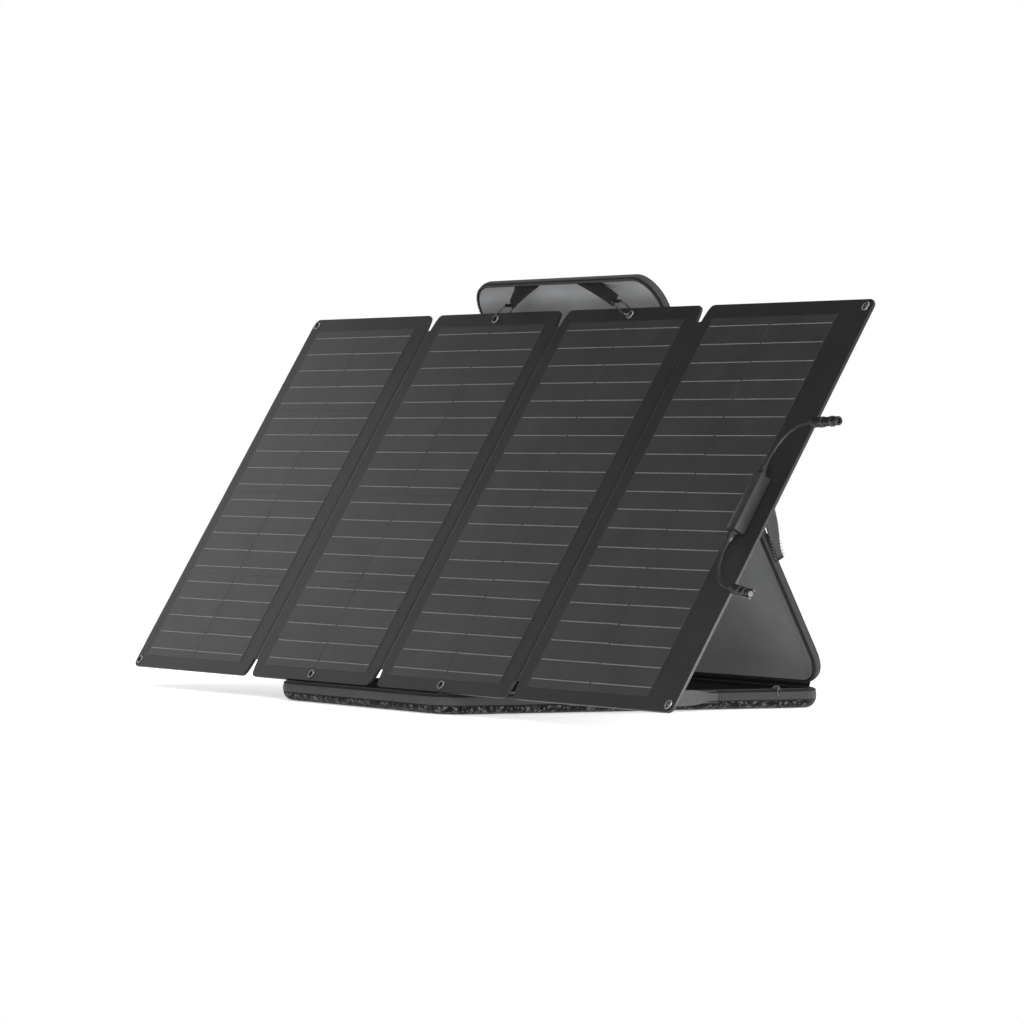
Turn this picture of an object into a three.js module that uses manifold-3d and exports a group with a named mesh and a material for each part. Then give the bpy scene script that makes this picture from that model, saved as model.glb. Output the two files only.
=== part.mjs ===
// Folding solar panel propped on its own opened carry case. Millimetres, +Z up.
// Origin: centre of the case base's underside. +X runs along the panel's width, +Y to the case hinge.
import * as THREE from 'three';
import { mergeVertices } from 'three/addons/utils/BufferGeometryUtils.js';
import Module from 'manifold-3d';

const wasm = await Module();
wasm.setup();

// ---------- driving dimensions ----------
const GAP = 0.3; // clearance between neighbouring solids
const CASE = { width: 518, length: 718, radius: 52, wall: 6 };
// The base: the rounding of its underside, heights of its layers, and how far its zip tape reaches in from the edge.
const BASE = { sole: 10, floor: 4, band: 13, rim: 27.5, top: 30.3, tapeInset: 18 };
const LID = { angle: 61.4, bottomY: 348, bottomZ: 34.6, from: 2, depth: 13, back: 3 };
const PANEL = { tilt: 59.3, left: -742, bottomY: -346, bottomZ: 33.4, height: 685, thick: 5 };
const SEGMENT = 384; // width of the three narrow panel segments
const LAST_SEGMENT = 418; // the segment that carries the junction box
const FOLD = { half: 6, thick: 1.6, notch: 30 };
// One flank of a fold's notch: how far it is from the fold's line, at each height.
const NOTCH_FLANK = [[22, 0], [15.5, 1.6], [11.5, 6], [9.2, 13], [7.4, 22]];
const CORNER = 13; // outer corner radius of the panel
const EYELET = { inset: 12.2, hole: 4.75, barrel: 5.9, flange: 7.6, lip: 1 };
const CELLS = { width: 311, height: 639, bottom: 21.5, thick: 0.6, left: [28.5, 420, 800, 1185] };
const BOX = { x: 1513, width: 21.5, bottom: 288, length: 93, foot: 5, height: 19 };
const GLAND = { height: 11.5, upper: { length: 16, radius: 7 }, lower: { length: 19, radius: 8 } };
const CONNECTOR = { radius: 8, nut: 17, socket: 43, plug: 38 };
const LEAD = { radius: 3, sides: 8, steps: 30 };
const TAB = { offset: 89, centre: -1, top: 36, end: 10, thick: 1.6 };
const HANDLE = { half: 138, bulge: 30, width: 24, thick: 5, patch: 48, patchThick: 1.5 };
const BASE_HANDLE = { low: 9, patch: [10, 20] }; // the patch stays below the zip pull
const LID_HANDLE = { low: -28, patch: [-25, -7] };
const SLIDER = { inset: 6, y: 259, width: 9, length: 16, height: 4 };
const PULL = { width: 6, length: 12, thick: 1.4, hang: 3.5, slotWidth: 2.8, slotLength: 6.4 };
const CLIP = { half: 24, radius: 11, wire: 1.3, gateWire: 1.1, lean: [0.86, 0.4, 0.25] };
const CLIP_ROLL = 30; // how far each ring is turned about its length, in degrees
const CLIP_MOUTH = [0.35 * Math.PI, -1.38 * Math.PI]; // where the clip's ring is open for its gate
// Section of the fabric hinge between the two halves: [y, z] corners.
const SPINE = [[356.6, 30.7], [360.6, 30.7], [363, 40.4], [361.4, 41.2]];

const FOLDS = [1, 2, 3].map((n) => n * SEGMENT);
const PANEL_WIDTH = 3 * SEGMENT + LAST_SEGMENT;
const RAD = Math.PI / 180;

// ---------- places ----------
// The lid's own axes: X, up along the lid, and out of its open face.
const lidUp = new THREE.Vector3(0, -Math.cos(LID.angle * RAD), Math.sin(LID.angle * RAD));
const lidOut = new THREE.Vector3(0, -Math.sin(LID.angle * RAD), -Math.cos(LID.angle * RAD));
const lidFrame = new THREE.Matrix4()
  .makeBasis(new THREE.Vector3(1, 0, 0), lidUp, lidOut)
  .setPosition(0, LID.bottomY, LID.bottomZ);

// The panel's own axes: X, up its slope, and out of its front face, from its lower left corner.
const panelUp = new THREE.Vector3(0, Math.cos(PANEL.tilt * RAD), Math.sin(PANEL.tilt * RAD));
const panelOut = new THREE.Vector3(0, -Math.sin(PANEL.tilt * RAD), Math.cos(PANEL.tilt * RAD));
const panelFrame = new THREE.Matrix4()
  .makeBasis(new THREE.Vector3(1, 0, 0), panelUp, panelOut)
  .setPosition(PANEL.left, PANEL.bottomY, PANEL.bottomZ);

// ---------- materials ----------
const surface = (color, roughness, metalness = 0) =>
  new THREE.MeshStandardMaterial({ color, roughness, metalness });
const LOOK = {
  textured: () => surface(0x17181a, 1),
  wall: () => surface(0x55575a, 0.75),
  lining: () => surface(0x7b7d80, 0.7),
  tape: () => surface(0x1b1c1e, 0.8),
  webbing: () => surface(0x2a2b2d, 0.9),
  board: () => surface(0x2f3032, 0.45),
  cell: () => surface(0x3a3b3d, 0.35),
  fold: () => surface(0x2b2c2e, 0.5),
  steel: () => surface(0xa6a8ab, 0.3, 1),
  darkMetal: () => surface(0x3c3e40, 0.35, 1),
  plastic: () => surface(0x2c2d2f, 0.5),
  connector: () => surface(0x151617, 0.4),
  cable: () => surface(0x1d1e1f, 0.6),
};

// ---------- helpers ----------
const group = new THREE.Group();

function addNode(name, geometry, look, frame = null) {
  if (frame) geometry.applyMatrix4(frame);
  const mesh = new THREE.Mesh(geometry, LOOK[look]());
  mesh.name = name;
  group.add(mesh);
}

function welded(geometry) {
  const bare = geometry.index ? geometry.clone() : geometry;
  bare.deleteAttribute('normal');
  bare.deleteAttribute('uv');
  return mergeVertices(bare, 1e-4);
}

function toSolid(geometry) {
  const bare = welded(geometry);
  return new wasm.Manifold(
    new wasm.Mesh({
      numProp: 3,
      vertProperties: new Float32Array(bare.attributes.position.array),
      triVerts: new Uint32Array(bare.index.array),
    }),
  );
}

function toGeometry(solid) {
  const mesh = solid.getMesh();
  const geometry = new THREE.BufferGeometry();
  geometry.setAttribute('position', new THREE.BufferAttribute(mesh.vertProperties, 3));
  geometry.setIndex(new THREE.BufferAttribute(mesh.triVerts, 1));
  geometry.computeVertexNormals();
  return geometry;
}

const cut = (body, tool) => toGeometry(toSolid(body).subtract(toSolid(tool)));

function roundedRect(width, length, radius, inset = 0, PathClass = THREE.Shape) {
  const w = width / 2 - inset;
  const h = length / 2 - inset;
  const r = Math.max(radius - inset, 1);
  const path = new PathClass();
  path.moveTo(w, -h + r);
  path.lineTo(w, h - r);
  path.absarc(w - r, h - r, r, 0, Math.PI / 2, false);
  path.lineTo(-w + r, h);
  path.absarc(-w + r, h - r, r, Math.PI / 2, Math.PI, false);
  path.lineTo(-w, -h + r);
  path.absarc(-w + r, -h + r, r, Math.PI, 1.5 * Math.PI, false);
  path.lineTo(w - r, -h);
  path.absarc(w - r, -h + r, r, 1.5 * Math.PI, 2 * Math.PI, false);
  path.closePath();
  return path;
}

// A flat plate whose underside lies at the height `from`.
function plate(shape, from, to, curveSegments = 6) {
  const options = { depth: to - from, bevelEnabled: false, curveSegments };
  return new THREE.ExtrudeGeometry(shape, options).translate(0, 0, from);
}

// A ring that follows the case's outline, between two insets and two heights.
function caseRing(length, outer, inner, from, to) {
  const shape = roundedRect(CASE.width, length, CASE.radius, outer);
  shape.holes.push(roundedRect(CASE.width, length, CASE.radius, inner, THREE.Path));
  return plate(shape, from, to);
}

const casePlate = (length, inset, from, to) =>
  plate(roundedRect(CASE.width, length, CASE.radius, inset), from, to);

// A round rod that follows a list of points.
function rod(points, radius, sides, steps) {
  const section = new THREE.Shape();
  for (let i = 0; i < sides; i += 1) {
    const turn = (2 * Math.PI * i) / sides;
    const x = radius * Math.cos(turn);
    const y = radius * Math.sin(turn);
    if (i === 0) section.moveTo(x, y);
    else section.lineTo(x, y);
  }
  section.closePath();
  const extrudePath = new THREE.CatmullRomCurve3(points, false, 'centripetal');
  return new THREE.ExtrudeGeometry(section, { steps, bevelEnabled: false, extrudePath });
}

// A turned body along Z from a list of [radius, height]; the ends close on the axis.
function turned(profile, sides = 16) {
  const points = profile.map(([r, z]) => new THREE.Vector2(r, z));
  return welded(new THREE.LatheGeometry(points, sides)).rotateX(Math.PI / 2);
}

// ---------- case base ----------
// The tray's outside: a plate whose lower edge is rounded all the way round.
function trayOutside() {
  const shape = roundedRect(CASE.width, CASE.length, CASE.radius, BASE.sole);
  const rounding = { bevelThickness: BASE.sole, bevelSize: BASE.sole, bevelSegments: 3 };
  const options = { depth: BASE.band, curveSegments: 6, bevelEnabled: true, ...rounding };
  const block = new THREE.ExtrudeGeometry(shape, options).translate(0, 0, BASE.sole);
  const above = casePlate(CASE.length, -1, BASE.band, 3 * BASE.band + BASE.sole);
  return cut(block, above);
}

function addBase() {
  const outer = trayOutside();
  const hollow = casePlate(CASE.length, CASE.wall, BASE.floor, BASE.band + 5);
  addNode('base_tray', cut(outer, hollow), 'textured');
  const rim = caseRing(CASE.length, 0.5, CASE.wall, BASE.band + GAP, BASE.rim);
  addNode('base_rim', rim, 'wall');
  const lining = casePlate(CASE.length, CASE.wall + 1, BASE.floor + GAP, BASE.floor + 2);
  addNode('base_lining', lining, 'lining');
  const tape = caseRing(CASE.length, 2.5, BASE.tapeInset, BASE.rim + GAP, BASE.top);
  addNode('base_zip_tape', tape, 'tape');
}

// ---------- case lid ----------
const lidCentre = LID.from + (CASE.length + 2) / 2;
const lidLength = CASE.length + 2;
const lidPlace = lidFrame.clone().multiply(new THREE.Matrix4().makeTranslation(0, lidCentre, 0));

function addLid() {
  const { depth, back } = LID;
  addNode('lid_back', casePlate(lidLength, 2, -depth - back, -depth - GAP), 'textured', lidPlace);
  addNode('lid_wall', caseRing(lidLength, 0, CASE.wall, -depth, -2.5), 'wall', lidPlace);
  const lining = casePlate(lidLength, CASE.wall + 1, -depth, -depth + 2);
  addNode('lid_lining', lining, 'lining', lidPlace);
  addNode('lid_zip_tape', caseRing(lidLength, 1, CASE.wall + 2, -2.2, 0), 'tape', lidPlace);
}

// ---------- fabric spine between the two halves ----------
function addSpine() {
  const half = CASE.width / 2 - CASE.radius - 4;
  const shape = new THREE.Shape();
  SPINE.forEach(([y, z], i) => (i ? shape.lineTo(y, z) : shape.moveTo(y, z)));
  shape.closePath();
  const geometry = plate(shape, -half, half);
  const turn = new THREE.Matrix4().makeBasis(
    new THREE.Vector3(0, 1, 0), new THREE.Vector3(0, 0, 1), new THREE.Vector3(1, 0, 0),
  );
  addNode('case_spine', geometry, 'tape', turn);
}

// ---------- carry handles ----------
// A strap that bows out from the right-hand wall, between z = low and z = low + width.
function handleStrap(outward) {
  const { half, bulge, thick } = HANDLE;
  const shape = new THREE.Shape();
  const steps = 16;
  const bow = (t) => outward + bulge * Math.pow(Math.cos((t * Math.PI) / 2), 1.4);
  for (let i = 0; i <= steps; i += 1) {
    const t = -1 + (2 * i) / steps;
    if (i === 0) shape.moveTo(bow(t), half * t);
    else shape.lineTo(bow(t), half * t);
  }
  for (let i = steps; i >= 0; i -= 1) {
    const t = -1 + (2 * i) / steps;
    shape.lineTo(bow(t) + thick, half * t);
  }
  shape.closePath();
  return shape;
}

// The sewn patch that ends a strap, reaching a little past it.
function handlePatch(outward, sign) {
  const shape = new THREE.Shape();
  const to = HANDLE.half + 6;
  const from = to - HANDLE.patch;
  shape.moveTo(outward, sign * from);
  shape.lineTo(outward + HANDLE.patchThick, sign * from);
  shape.lineTo(outward + HANDLE.patchThick, sign * to);
  shape.lineTo(outward, sign * to);
  shape.closePath();
  return shape;
}

function addHandle(prefix, { low, patch: [bottom, top] }, frame) {
  const wall = CASE.width / 2 + GAP;
  const strap = plate(handleStrap(wall + HANDLE.patchThick + 0.5), low, low + HANDLE.width);
  addNode(`${prefix}_handle`, strap, 'wall', frame);
  const ends = [['rear', 1], ['front', -1]];
  for (const [end, sign] of ends) {
    const patch = plate(handlePatch(wall, sign), bottom, top);
    addNode(`${prefix}_handle_patch_${end}`, patch, 'webbing', frame);
  }
}

// ---------- zip slider and its pull ----------
function addSlider() {
  const { width, length, height, y } = SLIDER;
  const low = BASE.top + GAP;
  const body = plate(roundedRect(width, length, 3), low, low + height);
  addNode('zip_slider', body.translate(CASE.width / 2 - SLIDER.inset, y, 0), 'darkMetal');
  const outline = roundedRect(PULL.width, PULL.length, 2.5);
  outline.holes.push(roundedRect(PULL.slotWidth, PULL.slotLength, 1.3, 0, THREE.Path));
  const pull = plate(outline, 0, PULL.thick, 3).rotateX(Math.PI / 2).rotateZ(Math.PI / 2);
  pull.translate(CASE.width / 2 + GAP, y, BASE.top - PULL.hang);
  addNode('zip_pull', pull, 'darkMetal');
}

// ---------- panel segments ----------
// One side edge of a segment: an outer edge with round corners, or a fold side with notches.
function sideEdge(x, sign, isFold, goingUp) {
  const lower = [];
  if (isFold) {
    for (const [across, y] of NOTCH_FLANK) lower.push([x - sign * across, y]);
    lower.push([x - sign * (FOLD.half + GAP), FOLD.notch]);
  } else {
    for (let i = 0; i <= 4; i += 1) {
      const turn = (Math.PI / 2) * (i / 4);
      const across = CORNER * (1 - Math.sin(turn));
      lower.push([x - sign * across, CORNER * (1 - Math.cos(turn))]);
    }
  }
  const upper = lower.map(([px, py]) => [px, PANEL.height - py]).reverse();
  const points = [...lower, ...upper];
  return goingUp ? points : points.reverse();
}

const eyeletPlaces = [
  ['eyelet_1_lower', EYELET.inset, EYELET.inset],
  ['eyelet_1_upper', EYELET.inset, PANEL.height - EYELET.inset],
  ['eyelet_2_lower', 1.5 * SEGMENT - 2, EYELET.inset],
  ['eyelet_2_upper', 1.5 * SEGMENT - 2, PANEL.height - EYELET.inset],
  ['eyelet_3_lower', 2.5 * SEGMENT - 3, EYELET.inset],
  ['eyelet_3_upper', 2.5 * SEGMENT - 3, PANEL.height - EYELET.inset],
  ['eyelet_4_lower', PANEL_WIDTH - 16, EYELET.inset],
  ['eyelet_4_upper', PANEL_WIDTH - 16, PANEL.height - EYELET.inset],
];

function addSegment(index) {
  const left = index * SEGMENT;
  const right = index === 3 ? PANEL_WIDTH : left + SEGMENT;
  const shape = new THREE.Shape();
  const outline = [
    ...sideEdge(right, 1, index < 3, true),
    ...sideEdge(left, -1, index > 0, false),
  ];
  outline.forEach(([x, y], i) => (i ? shape.lineTo(x, y) : shape.moveTo(x, y)));
  shape.closePath();
  for (const [, x, y] of eyeletPlaces.filter(([, px]) => px > left && px < right)) {
    const hole = new THREE.Path();
    hole.absarc(x, y, EYELET.barrel + GAP, 0, 2 * Math.PI, false);
    shape.holes.push(hole);
  }
  addNode(`segment_${index + 1}`, plate(shape, -PANEL.thick, 0, 8), 'board', panelFrame);

  const cells = new THREE.Shape();
  const x0 = CELLS.left[index];
  cells.moveTo(x0, CELLS.bottom);
  cells.lineTo(x0 + CELLS.width, CELLS.bottom);
  cells.lineTo(x0 + CELLS.width, CELLS.bottom + CELLS.height);
  cells.lineTo(x0, CELLS.bottom + CELLS.height);
  cells.closePath();
  const sheet = plate(cells, GAP, GAP + CELLS.thick);
  addNode(`cells_${index + 1}`, sheet, 'cell', panelFrame);
}

function addFold(index) {
  const x = FOLDS[index];
  const shape = new THREE.Shape();
  shape.moveTo(x - FOLD.half, FOLD.notch);
  shape.lineTo(x + FOLD.half, FOLD.notch);
  shape.lineTo(x + FOLD.half, PANEL.height - FOLD.notch);
  shape.lineTo(x - FOLD.half, PANEL.height - FOLD.notch);
  shape.closePath();
  addNode(`fold_${index + 1}`, plate(shape, -FOLD.thick, 0), 'fold', panelFrame);
}

function addEyelets() {
  const { hole, barrel, flange, lip } = EYELET;
  const front = 0.2;
  const rear = -PANEL.thick - 0.2;
  const profile = [
    [hole, rear - lip], [flange, rear - lip], [flange, rear], [barrel, rear],
    [barrel, front], [flange, front], [flange, front + lip], [hole, front + lip],
    [hole, rear - lip],
  ];
  for (const [name, x, y] of eyeletPlaces) {
    addNode(name, turned(profile).translate(x, y, 0), 'steel', panelFrame);
  }
}

// ---------- junction box, leads and connectors ----------
const boxCentre = BOX.x + BOX.width / 2;

function addBox() {
  const middle = BOX.bottom + BOX.length / 2;
  const foot = plate(roundedRect(BOX.width, BOX.length, 3), GAP, BOX.foot);
  addNode('box_foot', foot.translate(boxCentre, middle, 0), 'plastic', panelFrame);
  const cover = plate(roundedRect(BOX.width, BOX.length, 3), BOX.foot + GAP, BOX.height);
  addNode('box_cover', cover.translate(boxCentre, middle, 0), 'plastic', panelFrame);
}

// A turned body whose axis is laid along a direction in the panel's own axes.
function laid(profile, start, direction, sides = 12) {
  const turn = new THREE.Quaternion().setFromUnitVectors(
    new THREE.Vector3(0, 0, 1), direction.clone().normalize(),
  );
  return turned(profile, sides).applyQuaternion(turn).translate(...start.toArray());
}

function glandProfile(length, radius) {
  return [
    [0, 0], [radius - 1, 0], [radius, 1.5], [radius, length * 0.55],
    [radius - 1.8, length * 0.62], [radius - 1.8, length - 2], [radius - 3.4, length],
    [0, length],
  ];
}

const leadPaths = {
  upper: [[0, 0, 0], [0.6, 13, 0.5], [5.5, 32, 1.5], [15, 48.5, 2.5], [31, 61, 3.5],
    [48, 67, 4], [65, 68, 4]],
  lower: [[0, 0, 0], [0.8, -12, 0.5], [6.5, -32, 1.5], [17.5, -51, 2.5], [34, -65.5, 3.5],
    [52, -73, 4], [69, -75.5, 4]],
};

function addLead(end, sign) {
  const { length, radius } = GLAND[end];
  const foot = sign > 0 ? BOX.bottom + BOX.length + GAP : BOX.bottom - GAP;
  const along = new THREE.Vector3(0, sign, 0);
  const base = new THREE.Vector3(boxCentre, foot, GLAND.height);
  addNode(`gland_${end}`, laid(glandProfile(length, radius), base, along), 'plastic', panelFrame);

  const exit = base.clone().addScaledVector(along, length + GAP);
  const points = leadPaths[end].map(([x, y, z]) => new THREE.Vector3(x, y, z).add(exit));
  const lead = rod(points, LEAD.radius, LEAD.sides, LEAD.steps);
  addNode(`lead_${end}`, lead, 'cable', panelFrame);
  addConnector(end, points);
}

// The connector at the end of a lead: its cable nut, then the socket or the plug.
function addConnector(end, points) {
  const last = points[points.length - 1];
  const heading = last.clone().sub(points[points.length - 2]).normalize();
  const { radius, nut } = CONNECTOR;
  const slim = radius - 0.4;
  const nutProfile = [[0, 0], [4.6, 0], [slim, 9], [slim, nut], [0, nut]];
  const nutStart = last.clone().addScaledVector(heading, GAP);
  addNode(`connector_${end}_nut`, laid(nutProfile, nutStart, heading), 'connector', panelFrame);

  const isSocket = end === 'upper';
  const total = isSocket ? CONNECTOR.socket : CONNECTOR.plug;
  const shoulder = isSocket ? 34 : 20;
  const tip = isSocket ? 7.4 : 5.6;
  const profile = [
    [0, 0], [radius - 1, 0], [radius, 2], [radius, shoulder],
    [tip, shoulder + radius - tip], [tip, total], [0, total],
  ];
  const bodyStart = nutStart.clone().addScaledVector(heading, nut + GAP);
  addNode(`connector_${end}_body`, laid(profile, bodyStart, heading), 'connector', panelFrame);
}

// ---------- tabs and wire clips ----------
// A point given in the panel's own axes.
const fromPanel = (x, y, rise) => new THREE.Vector3(x, y, rise).applyMatrix4(panelFrame);

function addTabAndClip(side, sign) {
  const eyelet = sign < 0 ? eyeletPlaces[3] : eyeletPlaces[5];
  const centre = fromPanel(eyelet[1], eyelet[2], -PANEL.thick / 2);
  const seam = lidLength + LID.from - CASE.wall - 3.5;
  const top = new THREE.Vector3(TAB.centre + sign * TAB.offset, seam, -1.5);
  top.applyMatrix4(lidFrame);

  // the clip: a long ring through the eyelet, leaning to its tab and rolled over the panel's edge
  const lengthwise = new THREE.Vector3(-sign * CLIP.lean[0], 0, 0)
    .addScaledVector(panelUp, CLIP.lean[1])
    .addScaledVector(panelOut, CLIP.lean[2])
    .normalize();
  const crosswise = panelOut.clone()
    .addScaledVector(lengthwise, -lengthwise.dot(panelOut))
    .normalize()
    .applyAxisAngle(lengthwise, -sign * CLIP_ROLL * RAD);
  const { half, radius, wire } = CLIP;
  const straight = half - radius;
  const middle = centre.clone().addScaledVector(lengthwise, half - 0.5);
  const at = (u, v) => middle.clone().addScaledVector(lengthwise, u).addScaledVector(crosswise, v);
  const ring = [];
  const arc = (cu, from, to, count) => {
    for (let i = 0; i <= count; i += 1) {
      const turn = from + ((to - from) * i) / count;
      ring.push(at(cu + radius * Math.cos(turn), radius * Math.sin(turn)));
    }
  };
  arc(straight, CLIP_MOUTH[0], -0.5 * Math.PI, 6);
  ring.push(at(0, -radius));
  arc(-straight, -0.5 * Math.PI, CLIP_MOUTH[1], 7);
  addNode(`clip_${side}`, rod(ring, wire, 8, 44), 'darkMetal');
  const gate = [
    at(straight + radius * 0.05, radius + 0.2),
    at(straight * 0.4, radius + 0.2),
    at(-straight * 0.4, radius + 0.2),
    at(-straight - radius * 0.02, radius + 0.2),
  ];
  addNode(`clip_gate_${side}`, rod(gate, CLIP.gateWire, 8, 6), 'darkMetal');

  // the tab: a strip sewn along the lid's top edge that narrows to the clip's far end
  const end = at(half + wire + 0.4, 0);
  const fall = end.clone().sub(top);
  const sideways = fall.x;
  const down = fall.clone().setX(0).normalize();
  const across = new THREE.Vector3(1, 0, 0);
  const normal = new THREE.Vector3().crossVectors(across, down).normalize();
  const drop = fall.clone().setX(0).length();
  const lean = Math.atan2(sideways, drop);
  const dx = TAB.end * Math.cos(lean);
  const dy = TAB.end * Math.sin(lean);
  const shape = new THREE.Shape();
  shape.moveTo(-TAB.top, 0);
  shape.lineTo(TAB.top, 0);
  shape.lineTo(sideways + dx, drop - dy);
  shape.lineTo(sideways - dx, drop + dy);
  shape.closePath();
  const frame = new THREE.Matrix4().makeBasis(across, down, normal).setPosition(top);
  addNode(`tab_${side}`, plate(shape, -TAB.thick / 2, TAB.thick / 2), 'webbing', frame);
}

// ---------- build ----------
addBase();
addLid();
addSpine();
addHandle('base', BASE_HANDLE, null);
addHandle('lid', LID_HANDLE, lidPlace);
addSlider();
[0, 1, 2, 3].forEach(addSegment);
[0, 1, 2].forEach(addFold);
addEyelets();
addBox();
addLead('upper', 1);
addLead('lower', -1);
addTabAndClip('left', -1);
addTabAndClip('right', 1);

export default group;
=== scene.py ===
"""Folding solar panel propped on its own opened carry case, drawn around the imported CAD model."""
import math
import random

import bpy
import numpy as np
from mathutils import Matrix, Quaternion, Vector, noise
from mathutils.geometry import tessellate_polygon


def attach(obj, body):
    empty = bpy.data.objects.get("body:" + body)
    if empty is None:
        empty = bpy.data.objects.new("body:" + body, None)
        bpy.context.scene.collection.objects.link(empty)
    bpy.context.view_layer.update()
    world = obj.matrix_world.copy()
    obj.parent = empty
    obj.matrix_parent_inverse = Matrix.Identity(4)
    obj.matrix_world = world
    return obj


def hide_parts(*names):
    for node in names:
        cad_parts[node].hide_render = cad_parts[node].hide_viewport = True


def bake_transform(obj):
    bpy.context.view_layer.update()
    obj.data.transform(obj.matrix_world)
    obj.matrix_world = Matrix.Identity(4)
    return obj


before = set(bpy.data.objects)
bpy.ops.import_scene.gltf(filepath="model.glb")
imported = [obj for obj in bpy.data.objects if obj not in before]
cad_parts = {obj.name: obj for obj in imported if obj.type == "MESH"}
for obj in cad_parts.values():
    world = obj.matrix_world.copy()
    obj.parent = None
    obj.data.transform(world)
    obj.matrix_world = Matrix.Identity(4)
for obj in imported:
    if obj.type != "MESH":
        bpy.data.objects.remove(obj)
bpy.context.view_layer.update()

random.seed(7)
MM = 0.001

# ---------- driving dimensions, in millimetres, as in the CAD model ----------
CASE_WIDTH, CASE_LENGTH, CASE_RADIUS, CASE_WALL = 518, 718, 52, 6
LID_LENGTH, LID_CENTRE = 720, 362
PANEL_HEIGHT, PANEL_THICK, SEGMENT, PANEL_WIDTH = 685, 5, 384, 1570
FOLD_HALF, FOLD_NOTCH = 6, 30
NOTCH_FLANK = [(22, 0), (18.6, 0.4), (15.5, 1.6), (13.2, 3.4), (11.5, 6), (10.2, 9.2),
               (9.2, 13), (8.2, 17.4), (7.4, 22), (6.8, 26)]
CORNER = 13
CELL_LEFT = [28.5, 420, 800, 1185]
CELL_AREA = (311, 639)
CELL_BOTTOM = 21.5
EYELET_ACROSS, EYELET_MARGIN = (12.2, 574, 957, 1554), 12.2
EYELETS = {f"{number}_{end}": (x, y) for number, x in enumerate(EYELET_ACROSS, 1)
           for end, y in (("lower", EYELET_MARGIN), ("upper", PANEL_HEIGHT - EYELET_MARGIN))}
BOX = {"left": 1513, "width": 21.5, "bottom": 288, "length": 93, "foot": 5, "height": 19}
LEAD_RADIUS = 3
HANDLE_HALF, HANDLE_BULGE, HANDLE_WIDTH, HANDLE_THICK = 138, 30, 24, 5
WALL_OUT = CASE_WIDTH / 2 + 0.3
CLIP_HALF, CLIP_RADIUS, CLIP_WIRE, CLIP_ROLL = 24, 11, 1.3, 30


def axes(origin, up, out):
    """A frame from its origin in millimetres and its second and third axes; the first is X."""
    up, out = Vector(up), Vector(out)
    columns = Matrix((Vector((1, 0, 0)), up, out)).transposed().to_4x4()
    return Matrix.Translation(Vector(origin) * MM) @ columns @ Matrix.Scale(MM, 4)


def tilted(degrees):
    """The cosine and sine of a tilt."""
    return math.cos(math.radians(degrees)), math.sin(math.radians(degrees))


panel_c, panel_s = tilted(59.3)
lid_c, lid_s = tilted(61.4)
PANEL = axes((-742, -346, 33.4), (0, panel_c, panel_s), (0, -panel_s, panel_c))
LID = axes((0, 348, 34.6), (0, -lid_c, lid_s), (0, -lid_s, -lid_c))
LID_CASE = LID @ Matrix.Translation((0, LID_CENTRE, 0))
WORLD = Matrix.Scale(MM, 4)

def add_object(name, data):
    made = bpy.data.objects.new(name, data)
    bpy.context.scene.collection.objects.link(made)
    return made


# ---------- camera, at the photograph's viewing angle ----------
CAMERA_PLACE = (6.185, -4.112, 0.370)
CAMERA_AZIMUTH, CAMERA_ELEVATION, CAMERA_ROLL = 56.87, 0.52, 0.75
CAMERA_LENS, CAMERA_SENSOR, CAMERA_REACH = 164.8, 36, 60


def add_camera():
    """The camera, turned from straight down: azimuth, then elevation, then roll."""
    data = bpy.data.cameras.new("camera")
    data.lens, data.sensor_width, data.clip_end = CAMERA_LENS, CAMERA_SENSOR, CAMERA_REACH
    place = Matrix.Translation(CAMERA_PLACE)
    for axis, degrees in (("Z", CAMERA_AZIMUTH), ("X", 90 - CAMERA_ELEVATION), ("Z", CAMERA_ROLL)):
        place = place @ Matrix.Rotation(math.radians(degrees), 4, axis)
    camera = add_object("camera", data)
    camera.matrix_world = place
    bpy.context.scene.camera = camera


add_camera()


# ---------- material nodes ----------
WAVE_PERIOD = 0.314        # metres between the ridges of a wave texture whose scale is 1


def add_node(tree, kind, output, inputs, **settings):
    """Adds a node; each input is a value or another node's output. Returns the named output."""
    made = tree.nodes.new(kind)
    for key, value in settings.items():
        setattr(made, key, value)
    for key, value in inputs.items():
        if isinstance(value, bpy.types.NodeSocket):
            tree.links.new(value, made.inputs[key])
        else:
            made.inputs[key].default_value = value
    return made.outputs[output]


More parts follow.
